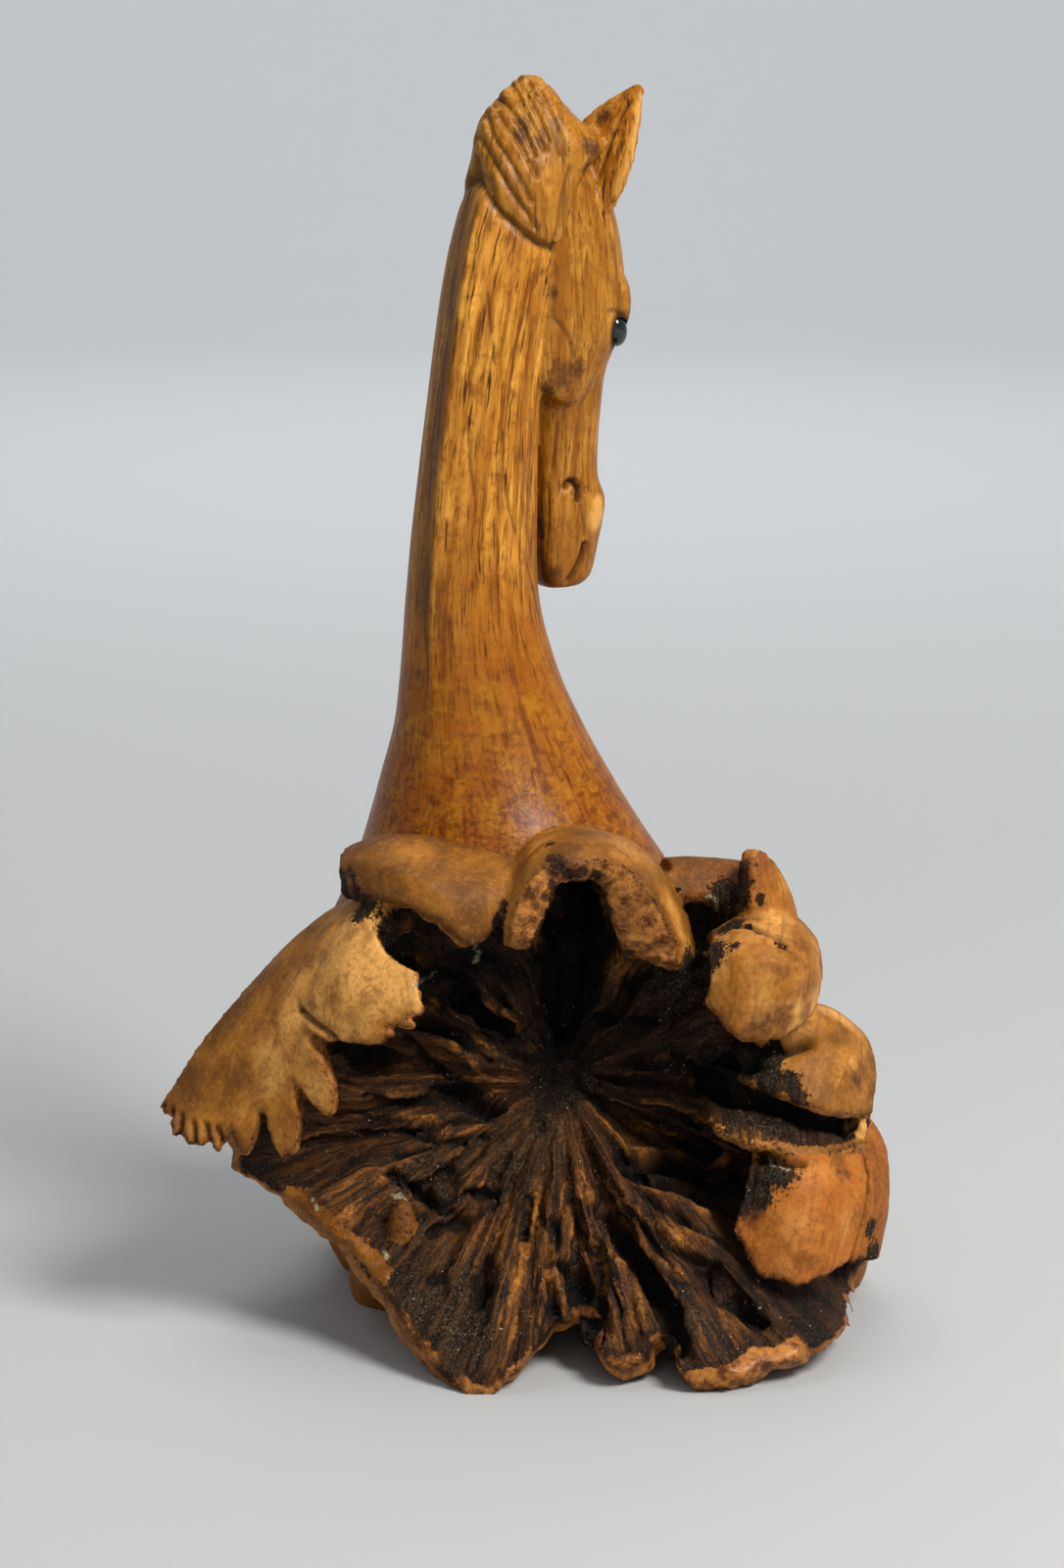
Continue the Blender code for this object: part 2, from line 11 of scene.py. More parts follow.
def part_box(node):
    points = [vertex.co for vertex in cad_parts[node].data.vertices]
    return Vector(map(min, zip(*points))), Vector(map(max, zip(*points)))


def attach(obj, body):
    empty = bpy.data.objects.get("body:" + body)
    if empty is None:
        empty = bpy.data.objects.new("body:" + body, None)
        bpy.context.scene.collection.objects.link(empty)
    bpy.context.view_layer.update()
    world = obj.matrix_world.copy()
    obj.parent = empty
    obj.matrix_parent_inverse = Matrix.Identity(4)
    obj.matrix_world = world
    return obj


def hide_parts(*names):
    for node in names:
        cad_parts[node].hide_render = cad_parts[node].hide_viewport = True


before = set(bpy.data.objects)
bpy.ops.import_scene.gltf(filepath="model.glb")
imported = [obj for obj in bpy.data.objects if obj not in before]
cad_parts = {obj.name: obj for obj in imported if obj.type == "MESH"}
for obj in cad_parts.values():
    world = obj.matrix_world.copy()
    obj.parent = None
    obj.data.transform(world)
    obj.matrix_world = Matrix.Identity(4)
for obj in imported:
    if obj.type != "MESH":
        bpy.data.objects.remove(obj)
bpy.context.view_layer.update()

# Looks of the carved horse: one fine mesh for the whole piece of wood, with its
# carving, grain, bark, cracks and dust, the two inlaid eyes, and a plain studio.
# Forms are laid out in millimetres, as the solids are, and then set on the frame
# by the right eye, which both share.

MM = 0.001
CELL = 0.5        # cell of the grid that merges the forms
MOST_FACES = 190000
FINER_ABOVE = 100.0                 # the head and mane are finer than the rest

# The photograph's viewing angle
CAMERA_ELEVATION = math.radians(12)
CAMERA_DISTANCE = 620.0
CAMERA_TARGET = np.array([0.0, 40.0, 77.955])
CAMERA_LENS = 99.46
CAMERA_SENSOR = 36.0
CAMERA_BACK = np.array([0.0, -math.cos(CAMERA_ELEVATION), math.sin(CAMERA_ELEVATION)])

# The horse looks away to the right of the burl's open side
FACING = math.radians(35)
FORWARD = np.array([math.cos(FACING), math.sin(FACING), 0.0])
RIGHT_SIDE = np.array([math.sin(FACING), -math.cos(FACING), 0.0])
UP = np.array([0.0, 0.0, 1.0])
HEAD_PLANE = np.array([3.5, 58.0, 0.0])

# What every point of the wood is marked with: where it lies along and across
# the fibres; how far it is dark inner bark, broken rim, outer burl or mane; how
# high it lies on a ridge, less where the bowl has painted shade; and how pale and
# how reddish its outer skin is. The seen marks are what the photograph shows at
# single places, and the neck's shade strip and the dark cracks carry painted shade
MARKS = ("fibre_x", "fibre_y", "fibre_z", "inside", "rim", "lobe", "mane", "ridge", "tint", "warm")
SEEN_MARKS = ("crack", "neck_shade", "stain", "bare", "golden", "lumpy", "fluff")
MARK_OFFSET = 0.5

# Trunk of the burl and neck: height, x, y, half depth, half width, turn in
# degrees, half the angle of the flats beside the crest, and depth of root folds
TRUNK_AND_NECK = (
    (-5, 2.0, 61.0, 26.0, 17.0, 0, 0.00, 0.10),
    (4, 2.0, 61.5, 31.0, 22.0, 0, 0.00, 0.11),
    (18, 1.5, 62.0, 34.0, 24.0, 0, 0.00, 0.10),
    (32, 1.0, 61.0, 33.5, 24.0, 2, 0.00, 0.08),
    (44, 0.0, 59.0, 31.0, 23.5, 5, 0.00, 0.06),
    (54, -1.6, 56.0, 27.8, 23.0, 12, 0.00, 0.04),
    (62, -3.0, 53.6, 24.0, 22.0, 25, 0.00, 0.01),
    (70, -4.3, 52.5, 20.2, 18.8, 35, 0.00, 0.00),
    (77, -5.4, 52.0, 17.2, 15.6, 35, 0.00, 0.00),
    (85, -6.5, 51.0, 14.1, 12.4, 35, 0.15, 0.00),
    (94, -7.8, 50.0, 11.6, 10.2, 35, 0.28, 0.00),
    (104, -8.6, 49.5, 9.9, 8.8, 35, 0.40, 0.00),
    (118, -8.0, 50.0, 9.1, 8.0, 35, 0.48, 0.00),
    (132, -6.9, 51.0, 8.4, 7.4, 35, 0.54, 0.00),
    (146, -4.9, 52.5, 8.6, 7.6, 35, 0.56, 0.00),
    (158, -2.7, 54.0, 8.3, 7.2, 35, 0.56, 0.00),
    (167, -0.8, 55.4, 6.6, 5.6, 35, 0.40, 0.00),
)
ROOT_FOLDS = 9
CREST_ANGLE = math.radians(155)
FIBRE_RADIUS = 9.0
NECK_POINTS = 720
NECK_RINGS = 300
SKIN_FROM = (62, 40)        # heights where the polished neck turns to the burl's skin

# Head, from the lips up to the poll: height, x, y, half depth, half width
HEAD = (
    (103.7, 4.0, 58.4, 2.8, 2.4),
    (105.4, 4.4, 58.7, 4.4, 3.6),
    (110.0, 4.7, 58.9, 5.2, 4.2),
    (116.0, 5.1, 59.0, 5.8, 4.8),
    (120.0, 4.7, 58.8, 5.1, 4.3),
    (126.0, 4.6, 58.8, 5.2, 4.5),
    (131.5, 4.6, 58.8, 5.6, 5.2),
    (135.5, 4.2, 58.5, 6.6, 6.2),
    (140.0, 4.0, 58.4, 8.8, 7.6),
    (144.5, 4.5, 58.7, 9.6, 7.8),
    (151.0, 4.0, 58.4, 9.7, 7.5),
    (157.0, 3.5, 58.0, 9.3, 6.8),
    (162.0, 2.9, 57.6, 8.1, 6.0),
    (168.0, 1.4, 56.6, 5.0, 4.4),
)
HEAD_SQUARENESS = 0.60
HEAD_TINT = 0.9

EYE_HEIGHT = 141.0
EYE_ANGLE = math.radians(48)
EYE_INSET = 0.3
EYE_SIZE = np.array([5.0, 3.8, 3.2])        # length, opening and depth
EYE_CLEARANCE = 0.25
LID_SHADOW = (1.55, 1.25)   # where the lids' shadow starts and is full, in eye radii
BROW_HEIGHT = 145.0
BROW_INSET = 1.6
BROW_RADII = (2.9, 2.6, 5.2)
JAW_HEIGHT = 139.0
JAW_ANGLE = math.radians(110)
JAW_INSET = 2.1
JAW_RADII = (5.6, 2.3, 8.2)

# Ears: a guide curve, widths at its root, middle and tip, how far the sides fall
# back at root and tip, and which way lies across it there
EAR_WALL = 2.2
EAR_EDGE = 1.1
PRICKED_EAR = dict(
    guide=((5.2, 57.0, 155), (6.4, 56.2, 163), (9.6, 56.2, 169), (15.2, 57.0, 176.3)),
    widths=(3.0, 5.8, 0.7), drop=(1.4, 0.6),
    across=((-0.8, 0.6, 0.2), (-0.8, 0.55, 0.25)))
FOLDED_EAR = dict(
    guide=((2.0, 61.0, 158), (1.5, 63.5, 165), (-1.0, 65.0, 168), (-4.5, 65.5, 171.0)),
    widths=(3.0, 4.2, 0.6), drop=(1.2, 0.6),
    across=((0.8, -0.5, 0.3), (0.7, -0.5, 0.4)))

# The locks of the mane run from its top to where they end in a point, both from
# the back forward: places along both, then the locks' own sizes
MANE_TOP = (
    (-6.3, 50.8, 166.0), (-6.2, 51.0, 172.2), (-2.4, 53.2, 176.6),
    (0.6, 54.8, 177.0), (4.0, 57.0, 172.4), (7.2, 59.4, 168.8),
)
MANE_POINT = (
    (-3.6, 46.6, 158.5), (0.8, 46.8, 155.5), (3.0, 48.2, 154.0),
    (4.4, 49.8, 157.0), (5.6, 51.6, 161.5), (6.8, 53.0, 164.5),
)
LOCKS = 13
LOCK_STEPS = 40
LOCK_THICKNESS = 1.75
LOCK_TAPER = 0.55
LOCK_FLATNESS = 0.8
LOCK_BULGES = (1.4, 3.0)
FAR_LOCK_INSET = 1.6
CAP_CENTRE = np.array([-0.9, 54.6, 167.2])
CAP_RADII = (8.4, 5.6, 8.4)

# Broken rim of the burl's bowl, clockwise from the middle of its lower lip
BOWL_FLOOR = np.array([4.0, 35.0, 35.5])
BOWL_RIM = (
    (6.0, 10.0, 9.5), (0.5, 5.0, 6.0), (-6.5, 1.2, 0.6), (-14.0, 7.0, 4.2), (-19.8, 13.5, 10.5),
    (-27.0, 21.0, 17.0), (-36.0, 28.0, 21.6), (-41.0, 33.0, 24.4), (-41.0, 34.0, 33.0),
    (-34.0, 34.0, 44.0), (-27.0, 33.0, 54.0), (-19.0, 31.0, 60.0), (-11.0, 29.0, 62.0),
    (-3.0, 29.0, 61.5), (7.0, 40.0, 62.0), (17.0, 30.0, 63.0), (24.5, 32.0, 65.0), (31.0, 29.0, 59.0),
    (34.0, 24.0, 47.0), (38.0, 24.0, 37.0), (40.0, 26.0, 28.0), (44.0, 32.0, 18.0), (47.0, 42.0, 11.0),
    (45.0, 36.0, 5.0), (41.4, 11.0, 6.2), (33.0, 3.6, 4.0), (21.8, 0.8, 2.4), (18.0, 7.0, 7.0),
    (14.2, 2.6, 4.2), (9.6, 3.0, 5.2),
)
BOWL_WALL = 4.2
BULB_CENTRE = np.array([2.0, 57.0, 30.0])
BULB_HALF_WIDTH = 30.0
BULB_HALF_HEIGHT = 28.0
BULB_BACK = 12.0
BULB_SWELL = 5.0
BOWL_SAG = 2.5
BOWL_POINTS = 1400
BOWL_RINGS = 140
# Shallow flutes: depth, how many, how far they wander and how often
FLUTES = ((0.9, 21, 1.3, 3), (0.6, 37, 2.0, 5))
# Sharp ridges of the bowl: height, how many round it, how fast they change outward,
# and how much each shows in the colour
RIDGES = ((4.4, 3.0, 1.6), (2.8, 8.0, 2.2), (2.0, 16.0, 3.0), (1.0, 32.0, 4.0))
RIDGE_SHARES = (0.20, 0.28, 0.30, 0.22)
RIDGE_SWAY = 0.02
UPPER_SWAY = 0.12
RIM_CHIPS = ((1.5, 0.3), (0.9, 0.8))
# The lower lip is pale broken wood: the heights and the places across where that
# ends, its dark notch, and where it is worn all over
LIP_TOP = (15, 9)
LIP_END = (40, 36)
NOTCH_PLACE = 3.5
NOTCH_HALF_WIDTH = 4.0
NOTCH_DARKNESS = 0.8
WORN_FINENESS = 0.17
WORN_FROM = (19, 23)
# Painted shade and dirt: how much of their colour the ridges keep in the bowl's
# dark upper half, which faces down
FAN_SHADE_DARKEST = 0.45
FAN_SHADE_TILT = 0.35
FAN_SHADE_SPAN = (0.25, -0.55)
# Deep clefts of the open side: how far back and how high they fade out, and for
# each x, z, how far it sinks, half width and half height
CLEFT_BACK = (58, 46)
CLEFT_TOP = (72, 68)
CLEFTS = (
    (6.8, 61.0, 15.0, 3.2, 11.0),
    (4.5, 46.0, 5.0, 4.0, 12.0),
    (22.5, 59.0, 8.0, 4.6, 4.5),
    (-14.0, 54.0, 5.0, 9.0, 5.0),
)

# Lobes: how thick they are at the root, how much thinner at their sides, how
# their slots narrow, how dark their rims are, and how far in from the rim each
# change starts and is full
LOBE_ROOT_WALL = 7.0
EDGE_THINNING = 0.35
SLOT_FLARE = 1.3
CHARRED_RIM = 0.5
RIM_FADES = dict(end=(1.6, 0.4), face=(0.7, 0.1), worn=(2.5, 0.5), char_and_shadow=(1.8, 0.2), skin=(1.2, 3.0))

# Lobes that curl out over the bowl: each is a skin through columns of four points
# from its root to its broken rim, with how pale it is from side to side and how
# reddish, the side it shows, the rim's thickness, how round and how ragged the
# rim is, and slots in it: place across, depth, half width
LOBES = {
    "left_petal": dict(
        tint=(0.1, 1.2), warm=0.1, outward=(-0.6, -0.6, 0.5), rim_wall=1.4, ragged=0.04,
        columns=(
            ((-17, 52, 57), (-31.5, 36.5, 58), (-44.2, 30.5, 46.5), (-53.4, 27, 33.7)),
            ((-16, 47, 63), (-30, 32, 60.5), (-42.3, 27, 45.8), (-49.0, 22.5, 29.8)),
            ((-15, 43, 66), (-28, 29, 61.5), (-39.0, 23.5, 45.6), (-41.9, 20, 28.6)),
            ((-14, 41, 67), (-27, 26, 62.5), (-35.6, 20.6, 46), (-33.7, 17.5, 29.4)),
            ((-13, 40, 67), (-26, 24.5, 62.8), (-32.4, 18.6, 47), (-26.4, 14.4, 38.0)),
            ((-12, 39, 67.5), (-24.8, 22.5, 63.2), (-30.4, 17.6, 50.4), (-21.3, 12.2, 46.2)),
            ((-11, 38, 67.5), (-23, 21, 64), (-25.4, 15.6, 55.2), (-15.8, 10.8, 50.6)),
            ((-10, 38, 67), (-21.5, 21, 64.8), (-20.6, 16.4, 59.4), (-15.8, 13.4, 56.8))),
        slots=((-0.47, 0.10, 0.06), (-0.29, 0.17, 0.08), (-0.03, 0.20, 0.10), (0.28, 0.33, 0.20),
               (0.50, 0.06, 0.05), (0.60, 0.08, 0.06), (0.72, 0.05, 0.05))),
    "brow_roll": dict(
        tint=(0.0, 0.2), warm=0.2, outward=(-0.2, -0.7, 0.7), rim_wall=4.6, rim_round=3.0,
        columns=(
            ((-17, 46, 57), (-24, 36, 69.5), (-27.2, 29, 70), (-26.6, 22.5, 67.2)),
            ((-14, 44, 57), (-20, 33, 71.8), (-21.6, 21.5, 70.8), (-19.4, 18, 65.6)),
            ((-11, 42, 57), (-14.6, 31, 72), (-15.2, 18.6, 70.2), (-14.2, 15.5, 64.2)),
            ((-7, 42, 57), (-9.5, 30, 71.3), (-9.2, 17.8, 68.6), (-8.3, 15, 60.6)),
            ((-3, 42, 57), (-4.5, 29.5, 70), (-4.4, 19, 67.8), (-4.4, 17, 62.4)),
            ((1, 44, 56), (0.6, 31, 68.4), (0.2, 23, 67.6), (-1.6, 20.5, 65.4)))),
    "tunnel": dict(
        tint=(0.4, 0.3), warm=0.2, outward=(0.0, -0.2, 1.0), ragged=0.06,
        rim_wall=(4.2, 4.6, 3.6, 3.4, 4.4, 7.5, 8.5, 7.0),
        columns=(
            ((0, 42, 56), (-3.4, 30, 60), (-4.2, 20, 59.5), (-3.6, 13.5, 60.6)),
            ((0, 44, 65), (-2.8, 30, 67.4), (-3.2, 19, 66.6), (-2.4, 12.8, 66.4)),
            ((2, 44, 69), (0.2, 30, 72.0), (0.2, 19, 72.4), (0.8, 13.6, 71.4)),
            ((6, 45, 70), (6, 30, 73.8), (6.6, 20, 74.2), (6.8, 15.0, 72.4)),
            ((10, 44, 70), (11.5, 31, 72.6), (12.4, 23, 73.0), (12.4, 16.4, 71.6)),
            ((14, 42, 67), (16.8, 33, 69.0), (18.0, 26, 68), (17.4, 17.8, 65.6)),
            ((17, 41, 58), (20.6, 34, 62), (22.0, 28, 60.4), (20.6, 19, 58)),
            ((18, 40, 50), (22.4, 34, 56), (23.2, 28, 55.4), (20.6, 21.5, 54.6)))),
    "back_wall": dict(
        tint=(-0.3, -0.3), warm=0.35, outward=(0.0, -0.6, 0.6), rim_wall=3.0, rim_round=1.4,
        columns=(
            ((16, 44, 54), (18, 38, 66.6), (19.5, 33, 68.2), (20.0, 29.5, 64.0)),
            ((22, 44, 54), (24, 38, 66.4), (25, 33, 68.0), (25.2, 29.5, 63.4)),
            ((28, 44, 54), (29.5, 38, 66.0), (30.6, 33, 67.6), (31.0, 29.5, 63.4)))),
    "pointed_lobe": dict(
        tint=(0.3, 0.35), warm=0.5, outward=(0.75, -0.6, 0.2), rim_wall=3.2,
        columns=(
            ((27, 34, 49), (30.6, 27, 55), (31.0, 26, 62), (31.4, 27, 69.0)),
            ((30, 38, 49), (34.6, 30, 56), (34.8, 29, 63), (32.6, 29.5, 70.9)),
            ((33, 42, 49), (37.4, 33.5, 56), (37.2, 33, 62), (35.2, 33, 67.0)),
            ((35, 46, 49), (38.6, 38, 54), (38.4, 38, 58), (37.6, 37.5, 61.0)))),
    "knob": dict(
        tint=(0.75, 0.55), warm=0.35, outward=(0.3, -0.8, 0.4), rim_wall=3.2, rim_round=2.5,
        columns=(
            ((20, 42, 50), (25, 30, 58.4), (24.6, 19.5, 58), (24.6, 16, 52.4)),
            ((24, 44, 50), (29, 31, 60.6), (29.2, 16.8, 59.6), (27.6, 15, 47.6)),
            ((28, 46, 50), (33, 32, 61.4), (34, 16.4, 59), (31.6, 15.2, 46.0)),
            ((32, 47, 50), (37, 33, 60.4), (38.8, 20, 57), (36.4, 17.8, 46.6)),
            ((35, 48, 50), (40, 35, 57), (41.2, 27, 54.4), (40.0, 22.5, 48.2)))),
    "shoulder": dict(
        tint=(0.75, 0.4), warm=0.0, outward=(0.5, -0.6, 0.5), rim_wall=2.4, rim_round=1.6,
        columns=(
            ((22, 44, 34), (30, 35, 44), (30, 27, 43), (28.6, 23, 39.4)),
            ((26, 46, 36), (36, 35, 47), (37, 24, 45), (36.4, 18, 37.4)),
            ((31, 48, 36), (42, 35.5, 46.4), (44.6, 26, 42.6), (43.4, 19.5, 34.8)),
            ((36, 50, 34), (46.6, 38.5, 42), (49.4, 32, 38.4), (48.6, 26, 32.6)))),
    "ledge": dict(
        tint=(0.8, 0.4), warm=0.2, outward=(0.3, -0.4, 0.8), rim_wall=2.0, rim_round=1.2, skin_inside=1.0,
        columns=(
            ((16, 42, 31), (21, 33, 36), (24.6, 25, 35), (25.8, 20, 32.4)),
            ((22, 44, 31), (28, 33, 36.5), (31.4, 23, 34.6), (32.2, 17.2, 30.8)),
            ((29, 46, 31), (36, 35, 37), (39.6, 25, 33.6), (41.0, 18.6, 29.2)),
            ((35, 48, 31), (44, 39, 35), (48.2, 32, 32), (47.6, 25, 29)))),
    "right_petal": dict(
        tint=(0.6, 0.5), warm=0.75, outward=(0.4, -0.8, 0.3), rim_wall=1.6, ragged=0.03,
        columns=(
            ((22, 43, 18), (31, 30, 28), (30.4, 19, 28), (28.6, 13.6, 20)),
            ((26, 45, 18), (35, 30, 29.5), (35.2, 15, 28), (31.9, 10.8, 13.8)),
            ((31, 47, 18), (40, 30.5, 29.5), (41.2, 15.4, 27), (39.6, 10.9, 13.2)),
            ((36, 49, 18), (45, 33, 28), (47.6, 22, 24.6), (45.2, 16.5, 14.2)))),
    "rear_right_petal": dict(
        tint=(0.2, 0.3), warm=0.7, outward=(0.9, -0.2, 0.4), rim_wall=1.8, ragged=0.05,
        columns=(
            ((32, 50, 18), (43, 42, 27), (49, 34, 22), (46.6, 30, 10)),
            ((33, 56, 20), (46, 48, 28), (52.6, 41, 21), (50.6, 37, 7.6)),
            ((33, 60, 20), (45, 54, 27), (51.4, 47, 21), (50.0, 43, 8)))),
}

# Small rounded swellings: centre, radii and what they are marked as
SWELLINGS = (
    ((-18.4, 20.8, 16.4), (1.9, 2.4, 5.4), dict(inside=0.36, lobe=1.0, tint=-0.1, warm=0.3)),
    ((46.2, 26.4, 31.0), (1.5, 1.8, 1.4), dict(lobe=1.0, tint=1.0, warm=0.2)),
)

# Roots beside the open side: start, end, and the radius at each
ROOTS = (
    ((-4, 58, 30), (-20, 43, 3), 13, 7.0),
    ((12, 60, 30), (42, 50, 4), 13, 8.0),
)

# Lines cut into the wood, by the photograph's pixels: how deep and half how wide
# they are in millimetres, how dark, whether both cheeks have them, and the lines
PHOTO_SIZE = (1086, 1600)
CUTS = dict(
    mane_grooves=(0.55, 0.45, 0.35, True, (
        ((519, 82), (529, 97), (537, 115), (549, 137), (556, 152)),
        ((527, 78), (537, 94), (549, 117), (560, 143)), ((509, 101), (521, 112), (535, 133), (545, 158)),
        ((501, 103), (513, 125), (529, 143), (548, 179)),
        ((495, 112), (503, 139), (519, 163), (542, 205)),
        ((489, 140), (507, 171), (523, 198), (539, 220), (547, 233)),
        ((552, 92), (564, 118), (574, 145), (578, 168)), ((540, 84), (553, 106), (566, 133), (571, 160)),
    )),
    mane_edge=(0.5, 0.5, 0.6, True, (
        ((486, 160), (492, 187), (509, 214), (527, 232), (543, 246), (563, 254)),
        ((563, 254), (570, 234), (574, 205), (582, 172)),
    )),
    ear_jaw_and_lid=(0.35, 0.32, 0.5, True, (
        ((643, 102), (637, 113), (629, 128), (622, 147), (614, 171), (608, 194)),
        ((566, 300), (564, 323), (574, 334), (582, 350), (586, 366)),
        ((622, 318), (629, 317), (638, 320), (642, 320)),
    )),
    muzzle_cracks=(0.16, 0.2, 0.6, True, (
        ((559, 498), (560, 530), (558, 558)), ((593, 513), (595, 530), (596, 546)),
        ((568, 430), (566, 462), (563, 480)),
    )),
    nostril_mouth_and_chin=(1.1, 0.45, 1.0, True, (
        ((577, 496), (580, 492), (587, 492), (591, 500), (590, 509)),
        ((597, 556), (594, 568), (589, 580), (580, 594)), ((549, 532), (551, 546)),
    )),
    neck_cracks=(0.16, 0.2, 0.8, False, (
        ((515, 484), (520, 520), (527, 545)), ((538, 575), (546, 610), (552, 640)),
        ((498, 300), (501, 335), (505, 372)), ((478, 430), (480, 475), (484, 505)),
    )),
    lobe_cracks=(1.1, 0.45, 0.8, False, (
        ((750, 946), (764, 945), (780, 951), (792, 955), (801, 965)),
        ((306, 1030), (320, 1043), (338, 1056), (352, 1070)), ((165, 1127), (161, 1150)),
        ((174, 1132), (171, 1160)), ((184, 1138), (182, 1164)), ((197, 1146), (198, 1170)),
        ((210, 1148), (214, 1176)), ((221, 1152), (233, 1174)),
    )),
    wide_gaps=(3.2, 1.5, 1.0, False, (
        ((470, 1018), (501, 1040), (530, 1058)), ((350, 1080), (392, 1080)),
        ((452, 1112), (482, 1124), (503, 1134)),
        ((694, 1090), (722, 1104), (751, 1122), (799, 1126), (828, 1139), (862, 1148)),
        ((640, 1178), (694, 1194), (744, 1206)), ((640, 1192), (694, 1212), (750, 1236)),
        ((613, 1238), (638, 1264), (664, 1306), (681, 1335), (691, 1374)),
        ((602, 1276), (610, 1303), (611, 1335), (606, 1360)), ((586, 1300), (598, 1335), (598, 1358)),
        ((722, 1300), (745, 1325), (775, 1345)), ((726, 1087), (770, 1076), (822, 1059)),
        ((560, 930), (575, 960), (583, 1000), (576, 1050)),
    )),
    gaps=(1.8, 0.75, 1.0, False, (
        ((426, 1045), (462, 1057), (500, 1082)), ((416, 1062), (440, 1085), (470, 1106), (493, 1120)),
        ((375, 1121), (413, 1123), (447, 1123)), ((370, 1155), (416, 1155), (462, 1165), (493, 1162)),
        ((386, 1186), (416, 1174), (447, 1168), (472, 1165)), ((652, 1087), (694, 1086)),
        ((740, 1182), (770, 1182), (818, 1186)), ((612, 1037), (640, 1042), (665, 1043)),
        ((675, 1131), (703, 1146), (726, 1164)), ((573, 1290), (591, 1310), (603, 1335), (601, 1355)),
        ((566, 1247), (570, 1272)), ((685, 1302), (693, 1333)),
        ((630, 1217), (656, 1233), (685, 1270), (730, 1294)), ((440, 1231), (470, 1221), (507, 1217)),
        ((440, 1258), (481, 1243), (511, 1221)), ((440, 1304), (460, 1292)),
        ((395, 1194), (425, 1216), (459, 1239)), ((430, 1150), (470, 1140), (505, 1142)),
        ((540, 1225), (535, 1262)), ((553, 1240), (560, 1290), (566, 1345)), ((590, 1230), (597, 1262)),
        ((640, 1236), (668, 1268), (694, 1304)), ((650, 1212), (690, 1240), (725, 1262)),
        ((620, 1300), (634, 1340), (640, 1374)), ((500, 1290), (488, 1330)),
    )),
)

# Unevenness of the surfaces. Along the fibres: height, then how fine it is across
# them and along them. Of lumps: height, size, layers. All end with a noise's seed
ALONG_FIBRES = dict(oiled=(0.05, 0.6, 0.04, 31), skin=(0.14, 0.35, 0.06, 34), bark=(0.6, 0.8, 0.05, 36))
UNEVEN = dict(
    oiled=(0.16, 11, 1, 32), skin=(0.40, 9, 1, 33), fine_skin=(0.05, 1.3, 2, 35), bark=(0.35, 1.4, 2, 37),
    heart=(0.9, 1.8, 3, 38), lumps=(1.5, 3.2, 3, 41), broken=(0.25, 1.3, 2, 39),
)
# The middle of the bowl is crumbly, and has lost most of its ridges
HEART_RADIUS = 9.0
HEART_SHAPE = np.array([1, 0.4, 1])
HEART_LOSS = 0.7

# Strips of the surface: half their width, and the lines that they follow. The
# raised ones are ridges of the bowl, the skin folds over its lower lip, and the
# neck's strip is painted shade on the flat left of its crest
RAISED_HEIGHT = 0.7
STRIPS = dict(
    raised=(0.55, (
        ((591, 1196), (603, 1227), (613, 1245)), ((609, 1196), (630, 1221), (636, 1233)),
        ((630, 1215), (671, 1247), (695, 1268), (722, 1286)), ((630, 1243), (656, 1272), (685, 1298)),
        ((644, 1202), (685, 1221), (722, 1241)), ((703, 1253), (726, 1270)),
        ((545, 1205), (545, 1235), (541, 1256)), ((550, 1245), (560, 1272), (563, 1284)),
        ((560, 1294), (571, 1319), (581, 1355)), ((577, 1235), (581, 1262)),
        ((611, 1290), (622, 1323), (628, 1343), (634, 1374)),
        ((624, 1278), (644, 1302), (654, 1339), (660, 1354)), ((734, 1337), (754, 1372)),
        ((528, 1282), (530, 1313)), ((510, 1262), (497, 1300)), ((621, 1156), (646, 1171), (694, 1179)),
        ((646, 1144), (679, 1152), (698, 1158)), ((656, 1122), (694, 1129), (728, 1143)),
        ((596, 1127), (617, 1148), (623, 1158)), ((482, 1054), (504, 1076)),
        ((462, 1066), (480, 1082), (492, 1096)), ((395, 1117), (430, 1116)), ((410, 1140), (445, 1142)),
        ((514, 1030), (532, 1048)),
    )),
    skin=(1.7, (
        ((297, 1219), (325, 1243), (352, 1263), (379, 1284), (390, 1298)),
    )),
    # painted shade on the flat left of the neck's crest
    neck_shade=(2.0, (
        ((480, 190), (469, 250), (459, 310), (454, 372), (446, 430), (438, 500), (434, 560), (430, 620)),
    )),
    bare_edge=(0.8, (
        ((655, 98), (652, 120), (646, 145), (638, 172), (629, 196)),
    )),
    fluff=(0.5, (
        ((420, 1008), (432, 1000), (447, 992)), ((400, 1220), (410, 1221), (418, 1230)),
        ((392, 1276), (396, 1284)), ((320, 1224), (326, 1238)), ((716, 918), (728, 915), (733, 930)),
        ((727, 1024), (734, 1020)), ((484, 960), (489, 974), (484, 982)),
        ((780, 1183), (795, 1190), (806, 1198)),
    )),
)
